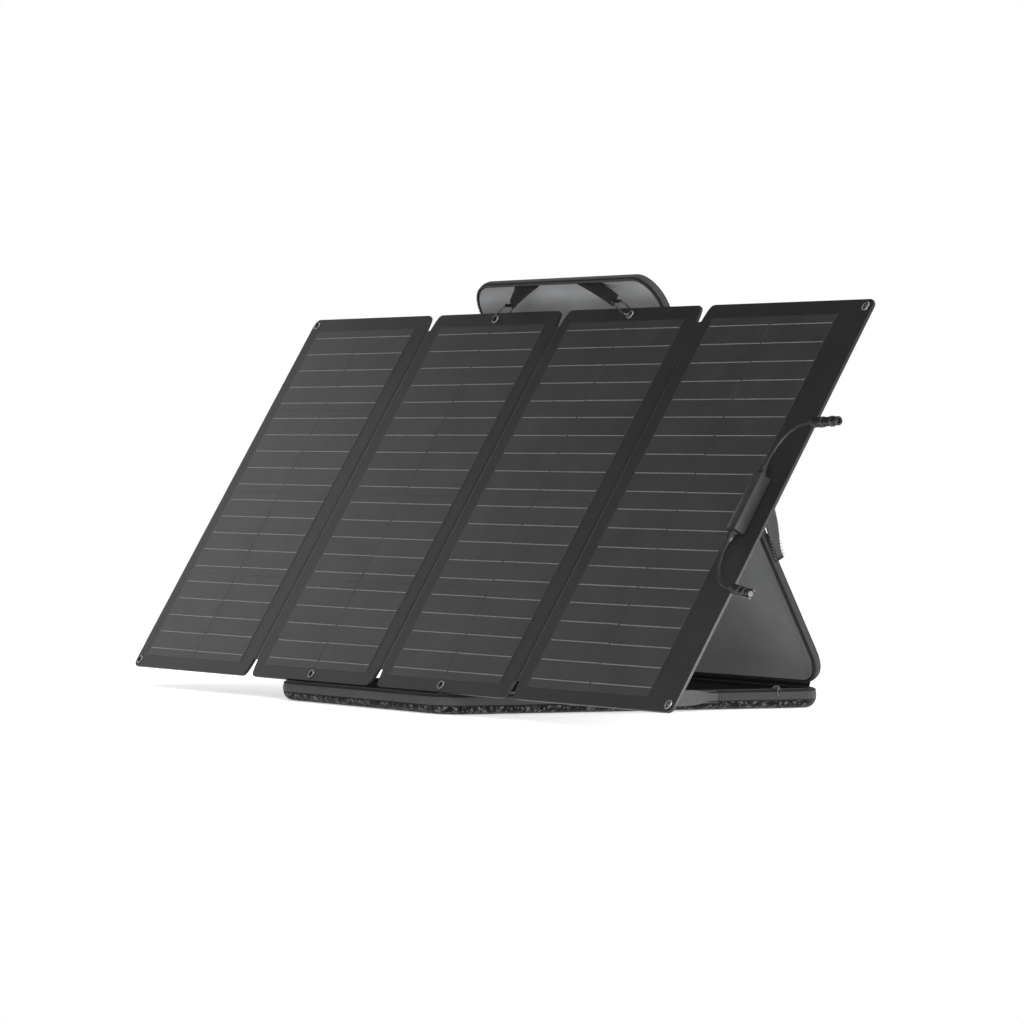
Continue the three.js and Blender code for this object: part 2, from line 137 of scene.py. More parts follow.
class Look:
    """A procedural material: a Principled shader and short calls that add nodes to it."""

    def __init__(self, name, rough, metal=0.0, specular=0.5, sheen=0.0, place=None):
        self.material = bpy.data.materials.new(name)
        self.material.use_nodes = True
        self.tree = self.material.node_tree
        self.shader = self.tree.nodes["Principled BSDF"]
        for socket, value in (("Roughness", rough), ("Metallic", metal), ("Specular IOR Level", specular),
                              ("Sheen Weight", sheen), ("Sheen Roughness", 0.4)):
            self.shader.inputs[socket].default_value = value
        self.normal = None
        self.vector = self.coordinates(place)

    def node(self, kind, output, inputs, **settings):
        return add_node(self.tree, kind, output, inputs, **settings)

    def coordinates(self, place):
        """The piece's own coordinates in metres, turned into the given frame."""
        inputs = {"Vector": self.node("ShaderNodeTexCoord", "Object", {})}
        if place is not None:
            turn = place.to_3x3().normalized().inverted()
            inputs["Rotation"] = turn.to_euler()
            inputs["Location"] = turn @ -place.translation
        return self.node("ShaderNodeMapping", "Vector", inputs)

    def noise(self, scale, detail=3.0, rough=0.5):
        return self.node("ShaderNodeTexNoise", "Fac", {"Vector": self.vector, "Scale": scale,
                                                       "Detail": detail, "Roughness": rough})

    def wave(self, pitch, axis, distortion=0.0):
        """Ridges with that pitch in metres across an axis."""
        inputs = {"Vector": self.vector, "Scale": WAVE_PERIOD / pitch, "Distortion": distortion}
        return self.node("ShaderNodeTexWave", "Fac", inputs, bands_direction=axis)

    def dots(self, pitch):
        inputs = {"Vector": self.vector, "Scale": 1 / pitch}
        return self.node("ShaderNodeTexVoronoi", "Distance", inputs, feature="F1")

    def math(self, operation, a, b):
        return self.node("ShaderNodeMath", 0, {0: a, 1: b}, operation=operation)

    def colour(self, fac, stops):
        """Colours the piece by a ramp between two or more stops of (position, grey)."""
        made = self.tree.nodes.new("ShaderNodeValToRGB")
        elements = made.color_ramp.elements
        while len(elements) < len(stops):
            elements.new(0.5)
        for element, (position, grey) in zip(elements, stops):
            element.position = position
            element.color = (*tint(grey), 1)
        self.tree.links.new(fac, made.inputs["Fac"])
        self.tree.links.new(made.outputs["Color"], self.shader.inputs["Base Color"])

    def roughness(self, fac, low, high):
        result = self.node("ShaderNodeMapRange", "Result", {"Value": fac, "To Min": low, "To Max": high})
        self.tree.links.new(result, self.shader.inputs["Roughness"])

    def bump(self, height, depth, strength=1.0):
        """Adds relief; depth is in metres."""
        inputs = {"Strength": strength, "Distance": depth, "Height": height}
        if self.normal is not None:
            inputs["Normal"] = self.normal
        self.normal = self.node("ShaderNodeBump", "Normal", inputs)
        self.tree.links.new(self.normal, self.shader.inputs["Normal"])
        return self


def linear(grey):
    """A grey given as 0 to 255 as it looks on screen, as a linear value."""
    c = grey / 255
    return c / 12.92 if c <= 0.04045 else ((c + 0.055) / 1.055) ** 2.4


def tint(grey):
    """A very slightly cool grey."""
    c = linear(grey)
    return c * 0.985, c, c * 1.015


def woven(name, dark, light, pitch, place):
    """Plain weave: ridges both ways, thread by thread colour and a little soiling."""
    look = Look(name, 0.9, specular=0.25, sheen=0.15, place=place)
    across, along = look.wave(pitch, "X"), look.wave(pitch, "Y")
    weave = look.math("MULTIPLY", across, along)
    tone = look.math("ADD", look.math("MULTIPLY", weave, 0.35), look.noise(38, 4))
    look.colour(tone, [(0.3, dark), (0.95, light)])
    look.bump(weave, 0.0002).bump(look.noise(900, 2), 0.00008)
    return look.material


def laminate(name, dark, light, place):
    """Satin plastic film with a fine embossed grain and faint mottling."""
    look = Look(name, 0.45, specular=0.32, place=place)
    mottle = look.noise(9, 3)
    look.colour(mottle, [(0.3, dark), (0.7, light)])
    look.roughness(look.noise(60, 3), 0.42, 0.48)
    look.bump(look.dots(0.0011), 0.00004, 0.6).bump(look.noise(6, 2), 0.0008, 0.25)
    return look.material


def solar_cell(place):
    """Dark cell under film: hair-thin contact fingers and cloudy tone."""
    look = Look("solar_cell", 0.44, specular=0.4, place=place)
    fingers = look.wave(0.0016, "X")
    tone = look.math("ADD", look.math("MULTIPLY", fingers, 0.25), look.noise(14, 4))
    look.colour(tone, [(0.3, 32), (0.95, 46)])
    look.roughness(look.noise(50, 3), 0.4, 0.48)
    look.bump(look.dots(0.0011), 0.00004, 0.6).bump(look.noise(7, 2), 0.0008, 0.25)
    return look.material


def moulded(name, dark, light, rough, specular=0.5):
    """Moulded plastic or rubber: fine spark-eroded grain, with lighter worn patches."""
    look = Look(name, rough, specular=specular)
    look.colour(look.noise(55, 4), [(0.35, dark), (0.75, light)])
    look.roughness(look.noise(140, 3), rough - 0.08, rough + 0.1)
    look.bump(look.noise(1500, 2), 0.00005, 0.7)
    return look.material


def metal(name, dark, light, rough):
    """Plated metal, slightly worn."""
    look = Look(name, rough, metal=1.0)
    look.colour(look.noise(160, 4), [(0.3, dark), (0.75, light)])
    look.roughness(look.noise(420, 3), rough - 0.08, rough + 0.14)
    look.bump(look.noise(900, 2), 0.00003, 0.6)
    return look.material


def boucle():
    """Black looped pile with pale fibre ends."""
    look = Look("textured_fabric", 1.0, specular=0.15, sheen=0.1)
    loops = look.noise(420, 4, 0.7)
    clumps = look.noise(130, 3, 0.6)
    tone = look.math("MULTIPLY", loops, clumps)
    look.colour(tone, [(0.2, 8), (0.27, 22), (0.33, 96)])
    look.bump(loops, 0.0009).bump(clumps, 0.0012)
    return look.material


def smooth_fabric(name, dark, light, sheen):
    """Close knit laminated to foam: soft, with a faint nap and grain."""
    look = Look(name, 0.82, specular=0.25, sheen=sheen)
    tone = look.math("ADD", look.math("MULTIPLY", look.noise(700, 2), 0.3), look.noise(11, 3))
    look.colour(tone, [(0.4, dark), (0.9, light)])
    look.bump(look.noise(1100, 2), 0.00012).bump(look.noise(24, 2), 0.0006, 0.3)
    return look.material


def ribbed(name, dark, light, pitch):
    """Woven tape with cross ribs."""
    look = Look(name, 0.85, specular=0.2, sheen=0.05)
    ribs = look.wave(pitch, "Y", 1.0)
    cords = look.wave(pitch * 1.7, "X", 1.0)
    tone = look.math("ADD", look.math("MULTIPLY", ribs, 0.4), look.noise(60, 3))
    look.colour(tone, [(0.3, dark), (1.0, light)])
    look.bump(ribs, 0.00025).bump(cords, 0.00015)
    return look.material


def floor_material():
    """Near-white floor with a little light of its own, so that it has no grey horizon."""
    look = Look("pale_floor", 0.9, specular=0.1)
    look.colour(look.noise(1.5, 2), [(0.3, 250), (0.7, 253)])
    look.shader.inputs["Emission Color"].default_value = (1, 1, 1, 1)
    look.shader.inputs["Emission Strength"].default_value = 0.5
    return look.material


MATERIAL = {
    "board": laminate("panel_board", 24, 29, PANEL),
    "cell": solar_cell(PANEL),
    "fold": laminate("fold_strip", 23, 28, PANEL),
    "busbar": metal("busbar", 140, 170, 0.55),
    "back": woven("panel_back_cloth", 20, 40, 0.0011, PANEL),
    "eyelet": metal("eyelet_metal", 120, 172, 0.3),
    "dark_metal": metal("dark_metal", 62, 120, 0.32),
    "box": moulded("box_plastic", 30, 36, 0.5, 0.4),
    "connector": moulded("connector_plastic", 12, 20, 0.4, 0.35),
    "cable": moulded("cable_jacket", 12, 20, 0.55, 0.35),
    "textured": boucle(),
    "wall": smooth_fabric("case_wall", 50, 62, 0.18),
    # painted shade: lid_wall is a slightly darker, less sheeny copy of the case wall cloth, used on the
    # lid's wall and its handle
    "lid_wall": smooth_fabric("lid_wall", 48, 60, 0.12),
    # painted shade: the base's inside walls are near-black for the shade under the lid
    "inside": smooth_fabric("base_inside", 20, 30, 0.1),
    "lining": smooth_fabric("case_lining", 116, 132, 0.22),
    "tape": ribbed("zip_tape", 12, 24, 0.0012),
    "webbing": ribbed("webbing", 12, 24, 0.0014),
    "handle": smooth_fabric("handle_cloth", 66, 80, 0.2),
    "thread": smooth_fabric("thread", 60, 84, 0.1),
    "pale_thread": smooth_fabric("pale_thread", 96, 124, 0.1),
    "teeth": moulded("zip_teeth", 26, 44, 0.35),
    "floor": floor_material(),
}


# ---------- mesh helpers ----------
def add_mesh(name, points, faces, place=WORLD):
    """A new mesh object from points in the given frame, in millimetres."""
    data = bpy.data.meshes.new(name)
    data.from_pydata([place @ Vector(p) for p in points], [], faces)
    data.validate()
    return add_object(name, data)


def dress(piece, look, body=None, stands_for=(), crease=38):
    """Material, smooth shading, body and the CAD nodes that the piece replaces."""
    piece.data.materials.append(MATERIAL[look])
    piece.data.shade_smooth()
    piece.data.set_sharp_from_angle(angle=math.radians(crease))
    if stands_for:
        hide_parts(*stands_for)
    if body:
        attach(piece, body)
    return piece


def second_look(piece, look, wanted):
    """A second material on the faces that the test picks out."""
    piece.data.materials.append(MATERIAL[look])
    for face in piece.data.polygons:
        if wanted(face):
            face.material_index = 1


class Parts:
    """Collects closed bits of one piece."""

    def __init__(self):
        self.points, self.faces = [], []

    def add(self, points, faces):
        start = len(self.points)
        self.points += [tuple(p) for p in points]
        self.faces += [[start + i for i in face] for face in faces]
        return self

    def mesh(self, name, place=WORLD):
        return add_mesh(name, self.points, self.faces, place)


def lofted(rings, closed=False):
    """Quads between rings of equal length. Open lofts get flat ends, closed ones join up."""
    count = len(rings[0])
    points = [p for ring in rings for p in ring]
    faces = []
    last = len(rings) if closed else len(rings) - 1
    for r in range(last):
        a, b = r * count, ((r + 1) % len(rings)) * count
        for i in range(count):
            j = (i + 1) % count
            faces.append([a + i, a + j, b + j, b + i])
    if not closed:
        faces.append(list(range(count))[::-1])
        faces.append([(len(rings) - 1) * count + i for i in range(count)])
    return points, faces


def smooth_path(points, per_span=6):
    """Centripetal Catmull-Rom curve through the points."""
    points = [Vector(p) for p in points]
    ends = [points[0] * 2 - points[1], *points, points[-1] * 2 - points[-2]]
    out = []
    for p0, p1, p2, p3 in zip(ends, ends[1:], ends[2:], ends[3:]):
        t0, t1 = 0.0, max((p1 - p0).length, 1e-6) ** 0.5
        t2 = t1 + max((p2 - p1).length, 1e-6) ** 0.5
        t3 = t2 + max((p3 - p2).length, 1e-6) ** 0.5
        for step in range(per_span):
            t = t1 + (t2 - t1) * step / per_span
            a1 = p0.lerp(p1, (t - t0) / (t1 - t0))
            a2 = p1.lerp(p2, (t - t1) / (t2 - t1))
            a3 = p2.lerp(p3, (t - t2) / (t3 - t2))
            b1 = a1.lerp(a2, (t - t0) / (t2 - t0))
            b2 = a2.lerp(a3, (t - t1) / (t3 - t1))
            out.append(b1.lerp(b2, (t - t1) / (t2 - t1)))
    return out + [points[-1]]


def frames_along(path, closed, hint=Vector((0, 0, 1))):
    """A right and an up direction at each point of a path, without twist."""
    count = len(path)
    ahead = []
    for i, point in enumerate(path):
        after = path[(i + 1) % count] if closed or i < count - 1 else point
        before = path[i - 1] if closed or i > 0 else point
        ahead.append((after - before).normalized())
    side = ahead[0].cross(hint)
    if side.length < 1e-3:
        side = ahead[0].cross(Vector((1, 0, 0)))
    side.normalize()
    out = []
    for heading in ahead:
        side = (side - heading * side.dot(heading)).normalized()
        out.append((side.copy(), side.cross(heading)))
    return out


def swept(path, section, closed=False, scale=None, hint=Vector((0, 0, 1))):
    """A section of (right, up) offsets carried along a path."""
    path = [Vector(p) for p in path]
    rings = []
    for i, (point, (right, up)) in enumerate(zip(path, frames_along(path, closed, hint))):
        k = scale(i / (len(path) - 1)) if scale else (1, 1)
        rings.append([point + right * (a * k[0]) + up * (b * k[1]) for a, b in section])
    return lofted(rings, closed)


def round_section(radius, sides=10):
    """Points round a circle; as a section, they are (right, up) offsets."""
    turns = [2 * math.pi * i / sides for i in range(sides)]
    return [(radius * math.cos(t), radius * math.sin(t)) for t in turns]


def strap_section(width, thick, soft=4):
    """A flat strap's section with rounded edges, wide across `right`."""
    r = thick / 2
    out = []
    for sign in (1, -1):
        for i in range(soft + 1):
            t = -math.pi / 2 + math.pi * i / soft
            out.append((sign * (width / 2 - r + r * math.cos(t)), sign * r * math.sin(t)))
    return out


def outline(width, length, radius, inset, corner, step):
    """Points round a rounded rectangle, evenly along its straight sides."""
    w, h = width / 2 - inset, length / 2 - inset
    r = max(radius - inset, 1.0)
    counts = [max(int((side - 2 * radius) / step), 1) for side in (length, width)]
    centres = [Vector((x * (w - r), y * (h - r))) for x, y in ((1, -1), (1, 1), (-1, 1), (-1, -1))]
    out = []
    for k, centre in enumerate(centres):
        for i in range(corner + 1):
            t = math.pi / 2 * (k - 1 + i / corner)
            reach = Vector((math.cos(t), math.sin(t))) * r
            if i < corner:
                out.append(centre + reach)
        count = counts[k % 2]
        out += [(centre + reach).lerp(centres[(k + 1) % 4] + reach, i / count) for i in range(count)]
    return out


def case_ring(length, inset, z, corner, step, wobble=0.0, seed=0.0):
    """Points round the case at one height; a wobble makes its fabric slightly uneven."""
    ring = outline(CASE_WIDTH, length, CASE_RADIUS, inset, corner, step)
    out = []
    for p in ring:
        rough = noise.noise(Vector((p.x * 0.02 + seed, p.y * 0.02, z * 0.1))) * wobble
        away = p.normalized() * rough
        out.append((p.x + away.x, p.y + away.y, z))
    return out


def shell(length, profile, corner, step, wobble, seed=0.0):
    """A closed ring round the case from a closed profile of (inset, height)."""
    rings = [case_ring(length, inset, z, corner, step, wobble, seed) for inset, z in profile]
    return lofted(rings, closed=True)


def grid_faces(across, along):
    """Quads over a grid of points, across + 1 to a row."""
    row = across + 1
    return [[a, a + 1, a + row + 1, a + row] for j in range(along) for a in range(j * row, j * row + across)]


def two_sided(top, under, across):
    """A closed sheet from two equal grids of points, joined round the edge."""
    row, count = across + 1, len(top)
    along = count // row - 1
    faces = grid_faces(across, along)
    faces += [[count + i for i in reversed(face)] for face in faces]
    edge = list(range(row)) + [j * row + across for j in range(1, along + 1)]
    edge += [along * row + i for i in range(across - 1, -1, -1)]
    edge += [j * row for j in range(along - 1, 0, -1)]
    for a, b in zip(edge, edge[1:] + edge[:1]):
        faces.append([b, a, count + a, count + b])
    return top + under, faces


def pad_mesh(width, length, radius, step, top, bottom):
    """A closed pad on a rounded rectangle, with the height of each side from a function."""
    across, along = max(int(width / step), 2), max(int(length / step), 2)
    upper, lower = [], []
    for j in range(along + 1):
        for i in range(across + 1):
            x, y = width * (i / across - 0.5), length * (j / along - 0.5)
            a = max(abs(x) - (width / 2 - radius), 0) / radius
            b = max(abs(y) - (length / 2 - radius), 0) / radius
            if a > 0 and b > 0:
                k = max(a, b) / math.hypot(a, b)
                x = math.copysign(width / 2 - radius + a * k * radius, x)
                y = math.copysign(length / 2 - radius + b * k * radius, y)
            upper.append((x, y, top(x, y)))
            lower.append((x, y, bottom(x, y)))
    return two_sided(upper, lower, across)


def stitches(parts, path, length=3.2, gap=1.6, radius=0.35, closed=False):
    """Adds a row of thread stitches along a path of points."""
    path = [Vector(p) for p in path]
    if closed:
        path = path + [path[0]]
    travelled, next_start = 0.0, 0.0
    for a, b in zip(path, path[1:]):
        span = (b - a).length
        while span > 1e-6 and next_start + length <= travelled + span:
            t = max((next_start - travelled) / span, 0.0)
            start = a.lerp(b, t)
            end = a.lerp(b, min(t + length / span, 1.0))
            bow = [start, start.lerp(end, 0.5), end]
            parts.add(*swept(bow, round_section(radius, 5),
                             scale=lambda f: (0.45 + 1.1 * (1 - abs(2 * f - 1)),) * 2))
            next_start += length + gap
        travelled += span
        next_start = max(next_start, travelled - length * 0.5)
    return parts


def lathe(profile, start, heading, sides=24, ribs=(0, 0, 0, 0)):
    """A turned body along a heading, from a profile of (radius, distance).

    Its ribs have a count, the two distances that they run between, and a depth.
    """
    heading = Vector(heading).normalized()
    side = heading.cross(Vector((0.3, 0.2, 1))).normalized()
    up = heading.cross(side)
    rib_count, rib_start, rib_end, rib_depth = ribs
    rings = []
    for radius, along in profile:
        centre = Vector(start) + heading * along
        ring = []
        for i in range(sides):
            t = 2 * math.pi * i / sides
            r = radius
            if rib_start <= along <= rib_end:
                r += rib_depth * (0.5 * math.cos(rib_count * t) - 0.5)
            ring.append(centre + side * (r * math.cos(t)) + up * (r * math.sin(t)))
        rings.append(ring)
    return lofted(rings)


def slab(corners, thick, soft):
    """A flat plate with eased edges: corners are (x, y), thick is (low, high)."""
    low, high = thick
    corners = [Vector(c) for c in corners]
    centre = sum(corners, Vector((0, 0))) / len(corners)
    rings = []
    for inset, z in ((soft, low), (0, low + soft), (0, high - soft), (soft, high)):
        eased_corners = [p - (p - centre).normalized() * inset * 1.3 for p in corners]
        rings.append([(p.x, p.y, z) for p in eased_corners])
    return lofted(rings)


# ---------- cords: the two short leads of the junction box ----------
BOX_CENTRE = BOX["left"] + BOX["width"] / 2
LEAD_HEIGHT = 11.5
FIT_GAP = 0.3
GLAND = {"upper": {"length": 16, "radius": 7, "sign": 1}, "lower": {"length": 19, "radius": 8, "sign": -1}}
LEAD_ROUTE = {
    "upper": [(0, 0, 0), (0.6, 13, 0.5), (5.5, 32, 1.5), (15, 48.5, 2.5), (31, 61, 3.5),
              (48, 67, 4), (65, 68, 4)],
    "lower": [(0, 0, 0), (0.8, -12, 0.5), (6.5, -32, 1.5), (17.5, -51, 2.5), (34, -65.5, 3.5),
              (52, -73, 4), (69, -75.5, 4)],
}
NUT_LENGTH = 17
NUT_PROFILE = [(3.4, -1.5), (5.2, 0), (6.6, 1.6), (7.4, 3.2), (7.4, 15.8), (6.8, NUT_LENGTH)]
SOCKET_PROFILE = [(6.8, 0), (7.9, 1.2), (7.9, 9), (7.2, 10), (7.2, 25), (7.8, 26), (7.8, 30), (6.6, 31.5),
                  (6.6, 42.4), (6.1, 43), (3.4, 43), (3.4, 36), (0.2, 36)]
PLUG_PROFILE = [(6.8, 0), (7.9, 1.2), (7.9, 8), (7.2, 9), (7.2, 19), (6.6, 20.5), (5.2, 21.5),
                (5.2, 29), (4.2, 30), (4.2, 33), (0.2, 33)]
# each block on the sides of a body: its distance along, its distance out, its size and its easing
CONNECTOR = {
    "upper": {"profile": SOCKET_PROFILE, "ribs": (2, 10, 25, 0.9),
              "blocks": [(33.5, 6.5, (7.5, 0.9, 3.2), 0.35)]},
    "lower": {"profile": PLUG_PROFILE, "ribs": (2, 9, 19, 0.9),
              "blocks": [(27.5, 5.9, (16, 1.5, 4.2), 0.4), (34.5, 6.4, (3.4, 2.2, 4.6), 0.4)]},
}


def lead_points(end):
    """The lead's route in the panel's axes, and the foot of its gland."""
    sign = GLAND[end]["sign"]
    edge = BOX["bottom"] + (BOX["length"] + FIT_GAP if sign > 0 else -FIT_GAP)
    foot = Vector((BOX_CENTRE, edge, LEAD_HEIGHT))
    exit_point = foot + Vector((0, sign * (GLAND[end]["length"] + FIT_GAP), 0))
    return [Vector(p) + exit_point for p in LEAD_ROUTE[end]], foot


def connector(end, last, heading):
    """A round cable connector: a ribbed cable nut, a body with latches, and its mating end."""
    heading = heading.normalized()
    side = heading.cross(Vector((0, 0, 1))).normalized()
    up = heading.cross(side)
    start = last + heading * FIT_GAP
    body = start + heading * (NUT_LENGTH + FIT_GAP)
    spec = CONNECTOR[end]
    parts = Parts()
    parts.add(*lathe(NUT_PROFILE, start, heading, 48, ribs=(12, 3, 16, 0.8)))
    parts.add(*lathe([(5.8, 16.6), (5.8, 19)], start, heading, 24))
    parts.add(*lathe(spec["profile"], body, heading, 40, ribs=spec["ribs"]))
    for along, away, size, soft in spec["blocks"]:
        for sign in (1, -1):
            centre = body + heading * along + side * (sign * away)
            add_block(parts, centre, heading, side, up, size, soft)
    if end == "upper":
        parts.add(*lathe([(1.6, 35), (1.6, 41.5), (0.6, 42.4)], body, heading, 16))
    stands_for = [f"connector_{end}_nut", f"connector_{end}_body"]
    return dress(parts.mesh("connector_" + end, PANEL), "connector", "panel_right",
                 stands_for, crease=32)


def add_block(parts, centre, along, across, up, size, soft):
    """Adds a small eased block with its own three directions."""
    length, width, height = size
    rings = []
    for inset, t in ((soft, -0.5), (0, -0.5 + soft / length), (0, 0.5 - soft / length), (soft, 0.5)):
        ring = []
        for a, b in ((-1, -1), (1, -1), (1, 1), (-1, 1)):
            ring.append(centre + along * (t * length) + across * (a * (width / 2 - inset * 0.7))
                        + up * (b * (height / 2 - inset)))
        rings.append(ring)
    parts.add(*lofted(rings))


def gland(end, foot):
    """The cable gland: hexagon, ribbed dome nut and a tapered rubber sleeve round the lead."""
    spec = GLAND[end]
    heading = Vector((0, spec["sign"], 0))
    r, length = spec["radius"], spec["length"]
    parts = Parts()
    parts.add(*lathe([(r - 0.6, -0.3), (r, 0.6), (r, 4), (r - 0.8, 5)], foot, heading, 6))
    nut = [(r - 1, 4.8), (r - 0.5, 5.6), (r - 0.5, length * 0.62), (r - 1.4, length * 0.74),
           (r - 2.8, length - 1.6), (r - 3.4, length - 0.6)]
    parts.add(*lathe(nut, foot, heading, 48, ribs=(16, 5.5, length * 0.7, 0.5)))
    path = [foot + heading * (length - 2), foot + heading * (length + 3)]
    path += smooth_path(lead_points(end)[0])[1:9]
    parts.add(*swept(path, round_section(1.0, 20), scale=lambda t: (4.5 - 1.05 * t,) * 2))
    dress(parts.mesh("strain_relief_" + end, PANEL), "connector", "panel_right",
          ["gland_" + end], crease=32)


def lead(end):
    """One short lead, from its gland to its connector."""
    route, foot = lead_points(end)
    line = [PANEL @ p for p in smooth_path(route)]
    data = bpy.data.curves.new("lead_" + end, "CURVE")
    data.dimensions = "3D"
    data.bevel_depth = LEAD_RADIUS * MM
    data.bevel_resolution = 6
    data.use_fill_caps = True
    spline = data.splines.new("POLY")
    spline.points.add(len(line) - 1)
    for target, point in zip(spline.points, line):
        target.co = (*point, 1)
    spline.use_smooth = True
    piece = add_object("cable_" + end, data)
    data.materials.append(MATERIAL["cable"])
    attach(piece, "panel_right")
    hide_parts("lead_" + end)
    gland(end, foot)
    plug = connector(end, route[-1], route[-1] - route[-2])
    length = sum((b - a).length for a, b in zip(line, line[1:]))
    tuple(line[0])


lead("upper")
lead("lower")


# ---------- panel segments ----------
def side_edge(x, sign, is_fold, going_up):
    """One long edge of a segment: notched at both ends beside a fold, otherwise round-cornered."""
    if is_fold:
        lower = [(x - sign * across, y) for across, y in NOTCH_FLANK]
        lower.append((x - sign * (FOLD_HALF + 0.3), FOLD_NOTCH))
    else:
        turns = [math.pi / 2 * i / 8 for i in range(9)]
        lower = [(x - sign * CORNER * (1 - math.sin(t)), CORNER * (1 - math.cos(t))) for t in turns]
    points = lower + [(px, PANEL_HEIGHT - py) for px, py in reversed(lower)]
    return points if going_up else points[::-1]


def inset_outline(points, inset):
    """The outline moved inwards along its corner bisectors."""
    out = []
    count = len(points)
    for i in range(count):
        before, here, after = (Vector(points[(i + k) % count]) for k in (-1, 0, 1))
        a, b = (here - before).normalized(), (after - here).normalized()
        inward_a, inward_b = Vector((-a.y, a.x)), Vector((-b.y, b.x))
        mid = (inward_a + inward_b).normalized()
        out.append(here + mid * (inset / max(mid.dot(inward_a), 0.5)))
    return out


BODY_OF = ["panel_left", "panel_middle", "panel_middle", "panel_right"]
BOARD_SECTION = [(1.4, -PANEL_THICK), (0.5, -PANEL_THICK + 0.3), (0.1, -PANEL_THICK + 1.0), (0, -2.5),
                 (0.05, -0.7), (0.25, -0.2), (0.8, 0)]
HOLE_RADIUS, HOLE_SIDES = 6.1, 24
PANEL_OUT = (PANEL.to_3x3() @ Vector((0, 0, 1))).normalized()


def segment_outline(index):
    """Points round one segment, counter-clockwise seen from its front."""
    left = index * SEGMENT
    right = PANEL_WIDTH if index == 3 else left + SEGMENT
    return side_edge(right, 1, index < 3, True) + side_edge(left, -1, index > 0, False)


def board(index):
    """One stiff segment: an eased slab with holes for its eyelets, film in front, cloth behind."""
    edge = segment_outline(index)
    rings = [[(p.x, p.y, z) for p in inset_outline(edge, inset)] for inset, z in BOARD_SECTION]
    points, faces = lofted(rings)
    faces = faces[:-2]
    count = len(edge)
    left, right = min(x for x, _ in edge), max(x for x, _ in edge)
    front, behind = [list(range(len(points) - count, len(points)))], [list(range(count))]
    for x, y in EYELETS.values():
        if left < x < right:
            for loops, z in ((front, 0), (behind, -PANEL_THICK)):
                loops.append([len(points) + i for i in range(HOLE_SIDES)])
                points += [(x + a, y + b, z) for a, b in round_section(HOLE_RADIUS, HOLE_SIDES)]
            near, far = front[-1], behind[-1]
            faces += [[near[i - 1], far[i - 1], far[i], near[i]] for i in range(HOLE_SIDES)]
    for loops, sign in ((front, 1), (behind, -1)):
        lookup = [i for loop in loops for i in loop]
        for tri in tessellate_polygon([[Vector(points[i]) for i in loop] for loop in loops]):
            a, b, c = (Vector(points[lookup[i]]) for i in tri)
            facing = (b - a).cross(c - a).z * sign
            faces.append([lookup[i] for i in (tri if facing > 0 else tri[::-1])])
    piece = add_mesh(f"board_{index + 1}", points, faces, PANEL)
    dress(piece, "board", BODY_OF[index], [f"segment_{index + 1}"], crease=12)
    second_look(piece, "back", lambda face: face.normal.dot(PANEL_OUT) < -0.7)


def back_seam(index):
    """Hem stitching round the cloth back of a segment."""
    edge = [(p.x, p.y, -PANEL_THICK - 0.1) for p in inset_outline(segment_outline(index), 7.0)]
    parts = stitches(Parts(), edge, 3.4, 1.6, 0.4, closed=True)
    dress(parts.mesh(f"back_stitching_{index + 1}", PANEL), "thread", BODY_OF[index])


CELL_PITCH, CELL_SIZE, COLUMN_GAP = 160.0, (154.6, 158.2), 1.8
CELL_BASE, CELL_RISE, CELL_TILT = 0.14, 0.24, 0.0005
BAR_COUNT, BAR_START, BAR_PITCH, BAR_STEPS, BAR_BASE = 5, 14.4, 32.4, 16, 0.44
BAR_ENDS = [(3.0, 1.2), (1.4, 3.0)]
BAR_SECTION = [(-0.8, 0.0), (-0.7, 0.12), (0.7, 0.12), (0.8, 0.0), (0.7, -0.2), (-0.7, -0.2)]


def pillow(parts, corner, size, grid, base, rise, lift, soft):
    """A thin raised plate with softened borders and a gently uneven top."""
    stations = []
    for start, length, count in zip(corner, size, grid):
        middle = [start + length * i / count for i in range(1, count)]
        stations.append([start, start + soft, *middle, start + length - soft, start + length])
    xs, ys = stations
    points = []
    for j, y in enumerate(ys):
        for i, x in enumerate(xs):
            rim = i in (0, len(xs) - 1) or j in (0, len(ys) - 1)
            points.append((x, y, base if rim else base + rise + lift(x, y)))
    parts.add(points, grid_faces(len(xs) - 1, len(ys) - 1))


def cell_lift(corner, index):
    """The uneven height of one cell: it tilts a little at random and is faintly cloudy."""
    tilt_x, tilt_y = random.uniform(-1, 1) * CELL_TILT, random.uniform(-1, 1) * CELL_TILT
    middle_x, middle_y = corner[0] + CELL_SIZE[0] / 2, corner[1] + CELL_SIZE[1] / 2

    def lift(x, y):
        cloud = 0.04 * noise.noise(Vector((x * 0.015, y * 0.015, 5 + index)))
        return (x - middle_x) * tilt_x + (y - middle_y) * tilt_y + cloud
    return lift


